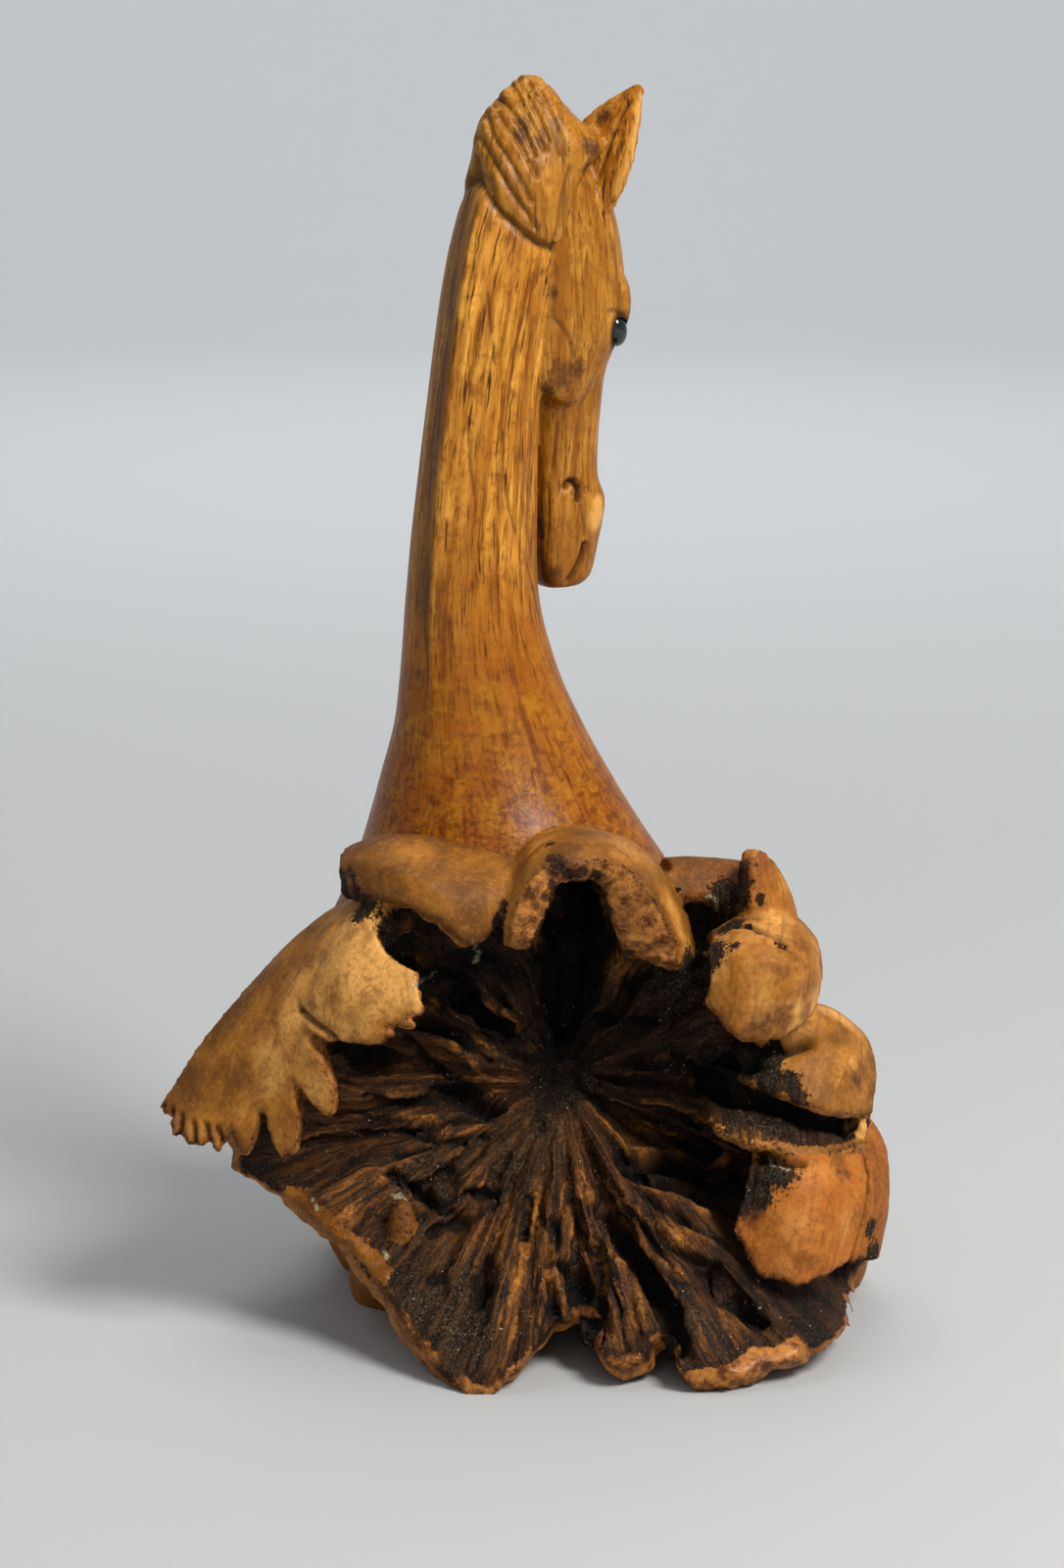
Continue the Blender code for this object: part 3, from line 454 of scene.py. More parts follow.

# Round patches: a pixel and a radius in millimetres. Crust covers the skin,
# the painted shadow in the hollow under the right petal is black, and lumps
# stand up from the bowl's ridges
PATCHES = dict(
    crust=(
        (700, 925, 3.2), (722, 925, 3.6), (740, 915, 3.0), (715, 950, 4.0), (700, 985, 3.4),
        (758, 885, 1.6), (757, 900, 2.2), (757, 915, 2.2), (745, 945, 3.0), (725, 975, 3.4),
        (762, 944, 1.0), (776, 951, 0.8), (750, 965, 0.9), (798, 964, 1.2), (776, 918, 1.1),
        (740, 1090, 3.6), (765, 1085, 3.4), (760, 1108, 4.0), (785, 1102, 3.0), (806, 1104, 2.0),
        (815, 1120, 1.8), (760, 1145, 3.8), (790, 1148, 3.6), (820, 1148, 3.0), (850, 1150, 2.4),
        (750, 1200, 3.0), (775, 1200, 3.8), (797, 1197, 3.0), (760, 1225, 3.0), (778, 1222, 2.2),
        (752, 1248, 2.0), (350, 895, 2.0), (357, 912, 2.2), (372, 930, 2.8), (388, 955, 3.0),
        (404, 976, 2.4), (515, 925, 1.2), (508, 940, 1.4), (505, 950, 1.4), (562, 862, 0.9),
        (566, 876, 1.3), (888, 1253, 1.8), (875, 1285, 3.0), (890, 1280, 2.4), (620, 960, 1.0),
        (636, 950, 1.0), (603, 905, 1.4), (600, 930, 1.2), (735, 1062, 3.0), (556, 915, 0.9),
        (563, 903, 1.1), (569, 886, 1.6), (580, 892, 1.3), (594, 891, 1.3), (607, 893, 1.3),
        (616, 908, 1.2), (622, 928, 1.1), (627, 948, 1.1), (642, 972, 1.3), (662, 980, 1.2),
    ),
    # painted shadow: black patches in the hollow under the right petal
    char_and_shadow=(
        (735, 1300, 3.6), (760, 1308, 4.2), (790, 1318, 4.0), (815, 1328, 3.4), (840, 1330, 2.6),
        (770, 1330, 3.0), (715, 1290, 2.6),
    ),
    lumps=(
        (440, 1330, 8.0), (470, 1360, 7.0), (480, 1310, 6.0), (420, 1240, 5.0), (700, 1350, 4.0),
        (440, 1200, 5.0), (520, 1190, 5.0), (700, 1000, 6.0), (720, 960, 6.0), (735, 930, 5.0),
        (770, 1095, 5.0), (780, 1150, 4.0), (780, 1215, 6.0), (400, 960, 4.0), (425, 985, 4.0),
        (560, 1150, 5.0), (600, 1120, 4.0), (880, 1282, 4.0),
    ),
    stain=(
        (534, 130, 2.2), (547, 143, 1.4), (574, 386, 2.6), (590, 380, 2.0), (558, 398, 1.6),
        (566, 368, 1.2), (606, 150, 2.2), (600, 170, 2.0), (614, 120, 2.0), (560, 585, 2.4),
        (548, 538, 1.8), (563, 300, 1.2), (588, 498, 1.0), (858, 1196, 2.2), (780, 1045, 3.0),
        (800, 1038, 2.6), (740, 1255, 2.0), (770, 1240, 1.6), (875, 1100, 1.8),
    ),
    golden=(
        (343, 1240, 1.6), (352, 1238, 1.8), (305, 1222, 1.2), (390, 1200, 1.0), (425, 1228, 0.9),
        (536, 1258, 2.0), (531, 1274, 1.8), (545, 1240, 1.0), (530, 1300, 1.4), (562, 1300, 0.9),
        (622, 1340, 1.6), (628, 1362, 1.8), (652, 1345, 1.4), (600, 1220, 1.0), (656, 1238, 1.2),
        (690, 1262, 1.2), (736, 1166, 1.4), (755, 1168, 1.6), (775, 1168, 1.6), (790, 1171, 1.2),
        (745, 1352, 1.2), (618, 925, 2.2), (632, 950, 2.2), (628, 982, 2.4), (645, 985, 2.0),
        (548, 930, 1.6), (548, 955, 2.0), (415, 945, 2.0), (432, 980, 1.6), (478, 1028, 1.2),
        (500, 1028, 1.2), (440, 1025, 1.0),
    ),
    bare=(
        (610, 528, 2.2), (611, 514, 1.5),
    ),
)

# Patterns drawn out along the fibres: how fine across them and along them, and
# their detail and roughness
GRAIN = dict(
    streaks=(0.6, 0.05, 5.0, 0.6), lines=(2.6, 0.22, 3.0, 0.6), dashes=(2.0, 0.13, 2.0, 0.6),
    runs=(0.8, 0.045, 4.0, 0.6), skin_runs=(0.9, 0.10, 4.0, 0.6), crests=(0.8, 0.07, 5.0, 0.65),
    gaps=(0.42, 0.026, 2.0, 0.5), splits=(1.3, 0.09, 3.0, 0.6), threads=(2.2, 0.07, 2.0, 0.5),
)
# Patterns that are alike in every direction: how fine, and their detail and roughness
MOTTLE = dict(
    clouds=(0.085, 4.0, 0.6), blotch=(0.5, 4.0, 0.7), speckle=(1.5, 3.0, 0.7), gilding=(0.28, 4.0, 0.68),
    drifts=(0.13, 4.0, 0.6), mottle=(0.45, 5.0, 0.7), smudge=(0.22, 3.0, 0.6), freckles=(1.3, 4.0, 0.7),
    grit=(1.6, 4.0, 0.7), crumbs=(2.6, 3.0, 0.7), bits=(3.4, 2.0, 0.6), specks=(2.3, 1.0, 0.4),
    pores=(2.0, 4.0, 0.7), fine_pores=(1.2, 3.0, 0.6),
)
# A base colour and the colours laid over it: the pattern that shows each, where
# it starts and where it is full, its strength and its red, green and blue. The
# last four numbers are the height in millimetres where it changes, and from
# what share to what
POLISHED_WOOD = ((134, 76, 13), (
    ("streaks", 0.34, 0.66, 1.0, (230, 166, 66)),
    ("clouds", 0.38, 0.62, 0.6, (156, 92, 20)),
    ("blotch", 0.50, 0.66, 0.6, (116, 62, 14)),
    ("height", 118, 94, 0.8, (136, 74, 5)),
    ("lines", 0.47, 0.32, 0.85, (84, 42, 10)),
    ("dashes", 0.60, 0.67, 0.9, (62, 28, 8), 82, 104, 0.1, 1.0),
    ("runs", 0.54, 0.64, 0.75, (96, 50, 10)),
    ("gilding", 0.48, 0.62, 1.0, (170, 114, 22), 112, 88, 0.0, 0.5),
    ("waves", 0.50, 0.62, 1.0, (88, 42, 6), 104, 78, 0.0, 0.65),
    ("speckle", 0.48, 0.60, 1.0, (92, 38, 6), 84, 72, 0.0, 0.6),
    ("tint", 0.4, 0.9, 0.5, (122, 76, 22)),
    ("mane", 0.0, 1.0, 0.42, (136, 90, 32)),
))
OUTER_SKIN = ((94, 58, 18), (
    ("paleness", 0.0, 0.55, 1.0, (158, 102, 36)),
    ("paleness", 0.55, 1.0, 1.0, (206, 150, 80)),
    ("redness", 0.25, 1.0, 0.8, (176, 94, 34)),
    ("mottle", 0.54, 0.66, 0.45, (118, 90, 46)),
    ("smudge", 0.50, 0.66, 0.7, (100, 58, 20)),
    ("skin_runs", 0.50, 0.66, 0.5, (110, 66, 24)),
    ("freckles", 0.50, 0.64, 0.34, (88, 50, 16)),
    ("freckles", 0.44, 0.36, 0.16, (206, 150, 78)),
))
# Roughness of the oiled wood, the lobes and the bark, and depths of their bumps in metres
GLOSS = (("lines", (0.30, 0.44)), ("grit", (0.45, 0.66)), ("grit", (0.58, 0.85)))
OILED_BUMP, SKIN_BUMP, BARK_BUMP = 0.00024, 0.0003, 0.0016

# How open each place is: rays up from the surface, in metres
SKY_RAYS = 16
LOWEST_RAY = 0.15
RAY_START = 0.0004
CREVICE_REACH = 0.03
GOLDEN_ANGLE = math.pi * (3 - math.sqrt(5))

# Studio, in metres and watts. The floor is flat, then bends up into a backdrop
FLOOR_RADIUS = 1.3
FLOOR_BEND = 0.6
FLOOR_SIDES = 96
FLOOR_COLOUR = (0.41, 0.425, 0.44, 1.0)
WALL_HEIGHT = 1.5
SKY_COLOUR = (0.80, 0.82, 0.84, 1.0)
SKY_STRENGTH = 0.16
# Each lamp's place, width, power and tint
LAMP_TARGET = (0.0, 0.0, 0.07)
LAMPS = dict(
    key=((0.42, -0.42, 0.66), 0.34, 9.2, (1.0, 0.96, 0.90)),
    fill=((-0.10, -0.90, 0.30), 0.60, 0.6, (1.0, 1.0, 1.0)),
    top=((-0.05, 0.15, 0.80), 0.50, 1.9, (1.0, 0.97, 0.93)),
)
# A lamp over each side of the backdrop makes it pale all round: its direction and
# power, then the radius and height of the lamps and of what they point at
BACKDROP_LAMPS = dict(rear=(0, 1, 13.0), left=(-1, 0, 9.0), right=(1, 0, 9.0), front=(0, -1, 6.0))
BACKDROP_AIM = ((0.90, 0.95), (1.70, 0.05))
BACKDROP_LAMP_SIZE = 0.90


# Noise

def noise(points, seed=0):
    """Smooth noise between about -1 and 1 at an array of points."""
    corner = np.floor(points).astype(np.int64)
    within = points - corner
    ease = within ** 3 * (within * (within * 6 - 15) + 10)
    total = np.zeros(points.shape[:-1])
    for step in np.ndindex(2, 2, 2):
        x, y, z = (corner[..., k] + d for k, d in enumerate(step))
        mixed = (x * 73856093) ^ (y * 19349663) ^ (z * 83492791) ^ (seed * 2654435761)
        mixed = ((mixed ^ (mixed >> 13)) * 1274126177) & 0xFFFFFFFF
        mixed = mixed ^ (mixed >> 16)
        slope = np.stack([(mixed >> shift) & 1023 for shift in (0, 10, 20)], -1) / 511.5 - 1
        share = np.prod(np.where(step, ease, 1 - ease), axis=-1)
        total += share * (slope * (within - np.array(step))).sum(-1)
    return total


def layered(points, layers=3, seed=0):
    """Noise with finer and fainter layers added."""
    return sum(noise(points * 2.03 ** k, seed + k) * 0.5 ** k for k in range(layers))


def ridged(points, seed=0):
    """Noise with sharp crests, between 0 and 1."""
    return 1 - np.minimum(abs(noise(points, seed)) * 2.2, 1)


def smooth_step(value, low, high):
    share = np.clip((value - low) / (high - low), 0, 1)
    return share * share * (3 - 2 * share)


# Forms

def turns(count):
    """Angles evenly all round."""
    return np.arange(count) * 2 * math.pi / count


def rows_along(rows, count, closed=False):
    """Read count rows, evenly, from a smooth curve through the given rows."""
    points = np.array(rows, float)
    if closed:
        before, after = points[-1], points[:2]
        place = np.arange(count) * len(rows) / count
    else:
        before, after = 2 * points[0] - points[1], 2 * points[-1] - points[-2]
        place = np.linspace(0, len(rows) - 1, count)
    points = np.vstack([before, points, after])
    first = np.minimum(place.astype(int), len(points) - 4)
    return spline(*(points[first + i] for i in range(4)), (place - first)[:, None])


def spline(before, start, end, after, share):
    """A smooth curve from start to end, at a share of the way."""
    return 0.5 * (
        2 * start
        + (end - before) * share
        + (2 * before - 5 * start + 4 * end - after) * share ** 2
        + (3 * start - before - 3 * end + after) * share ** 3
    )


def unit(vectors):
    return vectors / np.maximum(np.linalg.norm(vectors, axis=-1, keepdims=True), 1e-12)


def marked(points, fibre=None, inside=0.0, rim=0.0, lobe=0.0, mane=0.0, ridge=0.5, tint=0.35, warm=0.3):
    """Points with their marks beside them."""
    if fibre is None:
        fibre = points
    columns = [np.broadcast_to(value, points.shape[:-1])[..., None]
               for value in (inside, rim, lobe, mane, ridge, tint, warm)]
    return np.concatenate([points, fibre] + columns, axis=-1)


def loft(rings, paired_ends=False):
    """Close a stack of rings into one body: vertices and faces."""
    count, size, width = rings.shape
    vertices = rings.reshape(-1, width)
    ring = np.arange(size)
    following = (ring + 1) % size
    low = (np.arange(count - 1) * size)[:, None]
    sides = np.stack([low + ring, low + following, low + size + following, low + size + ring], -1)
    faces = sides.reshape(-1, 4).tolist()
    last = (count - 1) * size
    if paired_ends:
        for j in range(size // 2 - 1):
            faces.append([j + 1, j, size - 1 - j, size - 2 - j])
            faces.append([last + j, last + j + 1, last + size - 2 - j, last + size - 1 - j])
    else:
        vertices = np.vstack([vertices, rings[0].mean(0), rings[-1].mean(0)])
        bottom, top = count * size, count * size + 1
        for j in range(size):
            faces.append([bottom, (j + 1) % size, j])
            faces.append([top, last + j, last + (j + 1) % size])
    return vertices, faces


def oval_ring(centre, half_depth, half_width, size, turn=FACING, crest=0.0, folds=0.0, square=1.0):
    """An oval section, with a crest on the neck or folds all round."""
    angle = turns(size)
    from_crest = abs((angle - CREST_ANGLE + math.pi) % (2 * math.pi) - math.pi)
    ripple = abs(np.cos(ROOT_FOLDS * angle / 2 + 0.7 * np.sin(2 * angle)))
    flats = 1 / np.cos(np.clip(crest - from_crest, 0, None))
    swell = flats + folds * (2 * ripple - 1.3)
    power = 1 + (square - 1) * (0.5 - 0.5 * np.cos(angle))
    forward, sideways = (np.sign(part) * abs(part) ** power for part in (np.cos(angle), np.sin(angle)))
    ahead = np.array([math.cos(turn), math.sin(turn), 0.0])
    right = np.array([math.sin(turn), -math.cos(turn), 0.0])
    return (centre + (half_depth * forward * swell)[:, None] * ahead
            + (half_width * sideways * swell)[:, None] * right)


def sunk(points):
    """Points of the burl's open side, pushed back into its clefts."""
    depth = sum(depth * np.exp(-((points[..., 0] - x) / width) ** 2 - ((points[..., 2] - z) / height) ** 2)
                for x, z, depth, width, height in CLEFTS)
    depth = depth * smooth_step(points[..., 1], *CLEFT_BACK) * smooth_step(points[..., 2], *CLEFT_TOP)
    return points + depth[..., None] * np.array([0.0, 1.0, 0.0]), depth


def neck_body():
    angle = turns(NECK_POINTS)
    rings = []
    for z, x, y, depth, width, turn, crest, folds in rows_along(TRUNK_AND_NECK, NECK_RINGS):
        turn = math.radians(turn)
        ring = oval_ring(np.array([x, y, z]), depth, width, NECK_POINTS, turn, crest, folds)
        fibre = np.stack([FIBRE_RADIUS * np.cos(angle - turn), FIBRE_RADIUS * np.sin(angle - turn),
                          np.full(NECK_POINTS, z)], -1)
        ring, depth = sunk(ring)
        rings.append(marked(ring, fibre, inside=smooth_step(depth, 1.0, 3.0), ridge=0.2,
                            lobe=float(smooth_step(z, *SKIN_FROM))))
    return loft(np.array(rings))


def head_point(height, angle, outward=0.0):
    """A point on the head's surface, or proud of it, on the horse's right."""
    rows = rows_along(HEAD, 400)
    z, x, y, depth, width = rows[np.argmin(abs(rows[:, 0] - height))]
    return (np.array([x, y, z])
            + (depth + outward) * math.cos(angle) * FORWARD
            + (width + outward) * math.sin(angle) * RIGHT_SIDE)


def head_body():
    rings = [marked(oval_ring(np.array([x, y, z]), depth, width, 120, square=HEAD_SQUARENESS), tint=HEAD_TINT)
             for z, x, y, depth, width in rows_along(HEAD, 160)]
    return loft(np.array(rings))


def ellipsoid(centre, radii, axes=(FORWARD, RIGHT_SIDE, UP), size=48, **marks):
    """A rounded swelling with its radii along three directions."""
    sphere = bmesh.new()
    bmesh.ops.create_uvsphere(sphere, u_segments=size, v_segments=size // 2, radius=1.0)
    points = np.array([vertex.co for vertex in sphere.verts])
    faces = [[vertex.index for vertex in face.verts] for face in sphere.faces]
    sphere.free()
    return marked(centre + (points * radii) @ np.array(axes), **marks), faces


def tube(path, radii, flatten=1.0, size=24, side=RIGHT_SIDE, **marks):
    """A tapered strip along a path, flattened against one side."""
    tangent = unit(np.gradient(path, axis=0))
    normal = unit(side - (tangent @ side)[:, None] * tangent)
    across = np.cross(tangent, normal)
    angle = turns(size)
    rings = (path[:, None]
             + (radii[:, None] * np.cos(angle))[:, :, None] * across[:, None]
             + (radii[:, None] * np.sin(angle) * flatten)[:, :, None] * normal[:, None])
    return loft(marked(rings, **marks))


def other_cheek(points):
    """The same places on the horse's left."""
    return points - 2 * ((points - HEAD_PLANE) @ RIGHT_SIDE)[:, None] * RIGHT_SIDE


def mirrored(body):
    """The same body on the horse's left."""
    data, faces = body
    return np.hstack([other_cheek(data[:, :3]), data[:, 3:]]), [face[::-1] for face in faces]


def mane_bodies():
    """A cap over the poll and fine locks that sweep down both cheeks."""
    bodies = [ellipsoid(CAP_CENTRE, CAP_RADII, mane=1.0)]
    starts = rows_along(MANE_TOP, LOCKS)
    ends = rows_along(MANE_POINT, LOCKS)
    reach = np.linspace(0, 1, LOCK_STEPS)
    radii = LOCK_THICKNESS * (1.0 - LOCK_TAPER * reach ** 2) * np.minimum(1, 0.6 + 3 * reach)
    for start, end, bulge in zip(starts, ends, np.linspace(*LOCK_BULGES, LOCKS)):
        middle = (start + end) / 2 + bulge * RIGHT_SIDE + UP
        path = rows_along((start, middle, end), LOCK_STEPS)
        lock = tube(path, radii, flatten=LOCK_FLATNESS, mane=1.0)
        far_lock = mirrored(lock)
        far_lock[0][:, :3] += FAR_LOCK_INSET * RIGHT_SIDE
        bodies += [lock, far_lock]
    return bodies


def lobe_body(columns, outward, rim_wall, rim_round=0.8, slots=(), ragged=0.03, skin_inside=0.0,
              tint=(0.5, 0.5), warm=0.3, stations=300, steps=90, seed=0):
    """A curved skin, with a thick root and a slotted, broken rim."""
    count = len(columns)
    across = rows_along(np.array(columns, float).reshape(count, -1), stations)
    rows = across.reshape(stations, 4, 3)
    rows = np.concatenate([2 * rows[:, :1] - rows[:, 1:2], rows, 2 * rows[:, -1:] - rows[:, -2:-1]], axis=1)
    length = np.linalg.norm(np.diff(rows[:, 1:5], axis=1), axis=-1).sum(1)
    width = np.linalg.norm(rows[0, 4] - rows[-1, 4])
    side = np.linspace(-1, 1, stations)
    break_line = np.stack([side * width / 5, 0 * side, 0 * side], -1)
    reach = 1 + ragged * layered(break_line, 5, 10 * seed)
    for position, depth, half_width in slots:
        reach -= depth * np.clip(1 - abs(side - position) / half_width, 0, 1) ** SLOT_FLARE
    place = np.linspace(0, 1, steps)[:, None] ** 0.8 * reach
    spot = 3 * place
    first = np.clip(spot.astype(int), 0, 2)
    station = np.arange(stations)
    outer = spline(*(rows[station, first + i] for i in range(4)), (spot - first)[..., None])
    normal = unit(np.cross(np.gradient(outer, axis=1), np.gradient(outer, axis=0)))
    normal *= np.sign((normal @ np.array(outward)).mean())
    if isinstance(rim_wall, tuple):
        rim_wall = np.interp(side, np.linspace(-1, 1, len(rim_wall)), rim_wall)
    thickness = rim_wall + (LOBE_ROOT_WALL - rim_wall) * np.clip(1 - place ** 2, 0, 1)
    thickness = thickness * (1 - EDGE_THINNING * side ** 6)
    from_rim = (reach - place) * length
    edge = 0.45 * thickness * (1 - np.sqrt(1 - np.clip(1 - from_rim / rim_round, 0, 1) ** 2))
    inner = outer - (thickness - edge)[..., None] * normal
    outer = outer - edge[..., None] * normal
    across_fibre = np.cumsum(np.linalg.norm(np.diff(outer, axis=1, prepend=outer[:, :1]), axis=-1), axis=1)
    fibre = np.stack([across_fibre + 31.0 * seed, 0 * place, place * length], -1)
    fade = {name: smooth_step(from_rim, *span) for name, span in RIM_FADES.items()}
    away = np.maximum(fade["skin"] * skin_inside, CHARRED_RIM * fade["char_and_shadow"])
    shades = dict(warm=warm, tint=tint[0] + (tint[1] - tint[0]) * (side + 1) / 2
                  + 0.7 * layered(outer / 9, 2, 200 + seed) - 0.25 * fade["worn"])
    outside = marked(outer, fibre, inside=away, rim=0.9 * fade["face"], lobe=1.0, ridge=0.35, **shades)
    below = marked(inner, fibre + [0, 5.0, 0], inside=1 - 0.5 * fade["end"], rim=fade["end"], ridge=0.42,
                   **shades)
    return loft(np.concatenate([outside, below[:, ::-1]], axis=1), paired_ends=True)


def ear_body(guide, widths, drop, across, steps=60, stations=61):
    """A pointed, curved ear on a guide curve."""
    p0, p1, p2, p3 = (np.array(p, float) for p in guide)
    side = np.linspace(-1, 1, stations)
    place = np.linspace(0, 1, steps)[:, None]
    s = place[:, :, None]
    centre = ((1 - s) ** 3 * p0 + 3 * s * (1 - s) ** 2 * p1
              + 3 * s ** 2 * (1 - s) * p2 + s ** 3 * p3)
    tangent = unit(3 * (1 - s) ** 2 * (p1 - p0) + 6 * s * (1 - s) * (p2 - p1)
                   + 3 * s ** 2 * (p3 - p2))
    toward = (1 - s) * np.array(across[0], float) + s * np.array(across[1], float)
    toward = unit(toward - (toward * tangent).sum(-1, keepdims=True) * tangent)
    outward = np.cross(tangent, toward)
    width = widths[0] * (1 - place) * (1 - 2 * place) + 4 * widths[1] * place * (1 - place) \
        + widths[2] * place * (2 * place - 1)
    fall = drop[0] + (drop[1] - drop[0]) * place
    thickness = EAR_EDGE + (EAR_WALL - EAR_EDGE) * (1 - place ** 2)
    thickness = thickness * (1 - EDGE_THINNING * side ** 6)
    outer = centre + (width * side)[..., None] * toward - (fall * side ** 2)[..., None] * outward
    inner = outer - thickness[..., None] * outward
    return loft(np.concatenate([marked(outer), marked(inner[:, ::-1])], axis=1), paired_ends=True)


def bowl_body():
    """The burl itself: a ridged bowl in front and a bulb behind."""
    def level(value):
        return np.full((BOWL_POINTS, 1), value)

    rim = rows_along(BOWL_RIM, BOWL_POINTS, closed=True)
    chips = sum(depth * noise(rim * fineness, 90) for depth, fineness in RIM_CHIPS)
    rim = rim + chips[:, None] * unit(rim - BOWL_FLOOR)
    spoke = rim - BOWL_FLOOR
    angle = np.arctan2(spoke[:, 2], spoke[:, 0])
    circle = np.stack([np.cos(angle), np.sin(angle)], -1)
    flutes = sum(depth * np.sin(number * angle + wander * np.sin(bends * angle))
                 for depth, number, wander, bends in FLUTES)

    # The lower lip is broken wood, worn in places, except in its middle notch
    lip = smooth_step(rim[:, 2], *LIP_TOP) * smooth_step(rim[:, 0], *LIP_END)
    lip = lip * (1 - NOTCH_DARKNESS * np.exp(-((rim[:, 0] - NOTCH_PLACE) / NOTCH_HALF_WIDTH) ** 2))
    worn = np.clip(0.5 + 1.5 * noise(rim * WORN_FINENESS, 92), 0, 1)
    worn = np.maximum(worn, smooth_step(rim[:, 0], *WORN_FROM))
    # Painted shade, with dirt: the bowl's upper half faces down and is darker
    fan_shade = FAN_SHADE_DARKEST + (1 - FAN_SHADE_DARKEST) * smooth_step(np.sin(angle + FAN_SHADE_TILT), *FAN_SHADE_SPAN)
    rings = []
    for reach in np.linspace(0.03, 1, BOWL_RINGS):
        halfway = math.sin(math.pi * reach)
        ring = BOWL_FLOOR + spoke * reach
        bend = layered(np.concatenate([1.5 * circle, level(4 * reach)], -1), 2, 7)
        bend = bend * (RIDGE_SWAY + UPPER_SWAY * smooth_step(np.sin(angle), -0.2, 0.4))
        turned = np.stack([np.cos(angle + bend), np.sin(angle + bend)], -1)
        crests = [ridged(np.concatenate([turned * number, level(speed * reach)], -1), int(number))
                  for _, number, speed in RIDGES]
        relief_here = sum(row[0] * (crest - 0.5) for row, crest in zip(RIDGES, crests))
        envelope = min(1.0, reach / 0.5) * (1 - 0.45 * smooth_step(reach, 0.9, 1.0))
        ring[:, 1] += BOWL_SAG * halfway + flutes * halfway ** 0.6 - relief_here * envelope
        ring, depth = sunk(ring)
        ridge = sum(share * crest for share, crest in zip(RIDGE_SHARES, crests))
        # Painted shade: the ridges' colour fades deep in the clefts, and in the bowl's upper half
        ridge = ridge * (1 - 0.8 * smooth_step(depth, 1.0, 5.0)) * fan_shade * smooth_step(reach, 0.02, 0.2)
        ridge = ridge * (1 - 0.5 * smooth_step(reach, 0.75, 1.0))
        fibre = np.concatenate([turned * 28.0, level(reach * 45.0)], -1)
        edge = smooth_step(reach + 0.025 * worn, 0.97, 0.995) * (1 - smooth_step(depth, 0.5, 2.0))
        edge = edge * lip * worn
        rings.append(marked(ring, fibre, inside=1 - 0.8 * edge, rim=edge, ridge=ridge, tint=0.15, warm=0.3))

    bulb = BULB_CENTRE + np.stack([
        BULB_HALF_WIDTH * np.cos(angle), 0 * angle, BULB_HALF_HEIGHT * np.sin(angle)], 1)
    outward = unit(np.stack([np.cos(angle), 0.9 + 0 * angle, np.sin(angle)], 1))
    lip = rim + outward * BOWL_WALL
    for share in np.linspace(0, 1, 60):
        bulge = BULB_SWELL * math.sin(math.pi * share)
        ring = lip * (1 - share) + bulb * share + bulge * outward
        fibre = np.concatenate([circle * 14.0, level(50 + 40 * share)], -1)
        rings.append(marked(ring, fibre, rim=0.6 * float(smooth_step(share, 0.05, 0.0)), lobe=1.0))
    for turn in np.linspace(0, math.pi / 2, 30)[1:-1]:
        ring = BULB_CENTRE + (bulb - BULB_CENTRE) * math.cos(turn)
        ring[:, 1] += BULB_BACK * math.sin(turn)
        rings.append(marked(ring, lobe=1.0))
    return loft(np.array(rings))


def root_bodies(steps=40):
    bodies = []
    for start, end, start_radius, end_radius in ROOTS:
        path = rows_along((start, (np.array(start) + np.array(end)) / 2, end), steps)
        radii = np.linspace(start_radius, end_radius, steps)
        bodies.append(tube(path, radii, size=64, side=UP, lobe=1.0))
        bodies.append(ellipsoid(np.array(end, float), (end_radius,) * 3, lobe=1.0))
    return bodies


def brow_bodies():
    brow = ellipsoid(head_point(BROW_HEIGHT, EYE_ANGLE, -BROW_INSET), BROW_RADII, tint=HEAD_TINT)
    jaw = ellipsoid(head_point(JAW_HEIGHT, JAW_ANGLE, -JAW_INSET), JAW_RADII, tint=HEAD_TINT)
    return [brow, mirrored(brow), jaw, mirrored(jaw)]


def carving_bodies():
    bodies = [neck_body(), head_body(), bowl_body()] + mane_bodies()
    bodies += [ear_body(**ear) for ear in (PRICKED_EAR, FOLDED_EAR)]
    bodies += brow_bodies() + root_bodies()
    bodies += [ellipsoid(np.array(centre), radii, **marks) for centre, radii, marks in SWELLINGS]
    return bodies + [lobe_body(**lobe, seed=number) for number, lobe in enumerate(LOBES.values(), 1)]


def eye_centre():
    return head_point(EYE_HEIGHT, EYE_ANGLE, -EYE_INSET)


def eye_axes():
    """Along the eye, across its lids, and out of the head."""
    outward = math.cos(EYE_ANGLE) * FORWARD + math.sin(EYE_ANGLE) * RIGHT_SIDE
    along = unit(np.cross(outward, UP) * 0.55 + UP * 0.9)
    along = unit(along - (along @ outward) * outward)
    return along, np.cross(outward, along), outward


def eye_pair(clearance=0.0):
    """Both eyes, or the sockets that hold them with a clearance."""
    radii = [length / 2 + clearance for length in EYE_SIZE]
    eye = ellipsoid(eye_centre(), radii, eye_axes(), size=40)
    return [eye, mirrored(eye)]


# From forms to one fine mesh

def joined(bodies):
    """All bodies' vertices with their marks, and their faces, as one list."""
    offsets = np.cumsum([0] + [len(data) for data, _ in bodies])
    faces = [[corner + int(offset) for corner in face]
             for (_, body_faces), offset in zip(bodies, offsets) for face in body_faces]
    return np.vstack([data for data, _ in bodies]), faces


def new_object(name, data):
    """An object in the scene, with its mesh, lamp or lens."""
    thing = bpy.data.objects.new(name, data)
    bpy.context.scene.collection.objects.link(thing)
    return thing


def mesh_object(name, points, faces):
    """A mesh object in metres from points in millimetres."""
    mesh = bpy.data.meshes.new(name)
    mesh.from_pydata((points[:, :3] * MM).tolist(), [], faces)
    mesh.update()
    return new_object(name, mesh)


def dressed(thing, material):
    """Give an object its one material and smooth shading."""
    thing.data.materials.clear()
    thing.data.materials.append(material)
    thing.data.shade_smooth()


def applied(thing):
    """Replace the object's mesh by what its modifiers make of it."""
    shape = thing.evaluated_get(bpy.context.evaluated_depsgraph_get())
    mesh = bpy.data.meshes.new_from_object(shape)
    old = thing.data
    thing.modifiers.clear()
    thing.data = mesh
    bpy.data.meshes.remove(old)


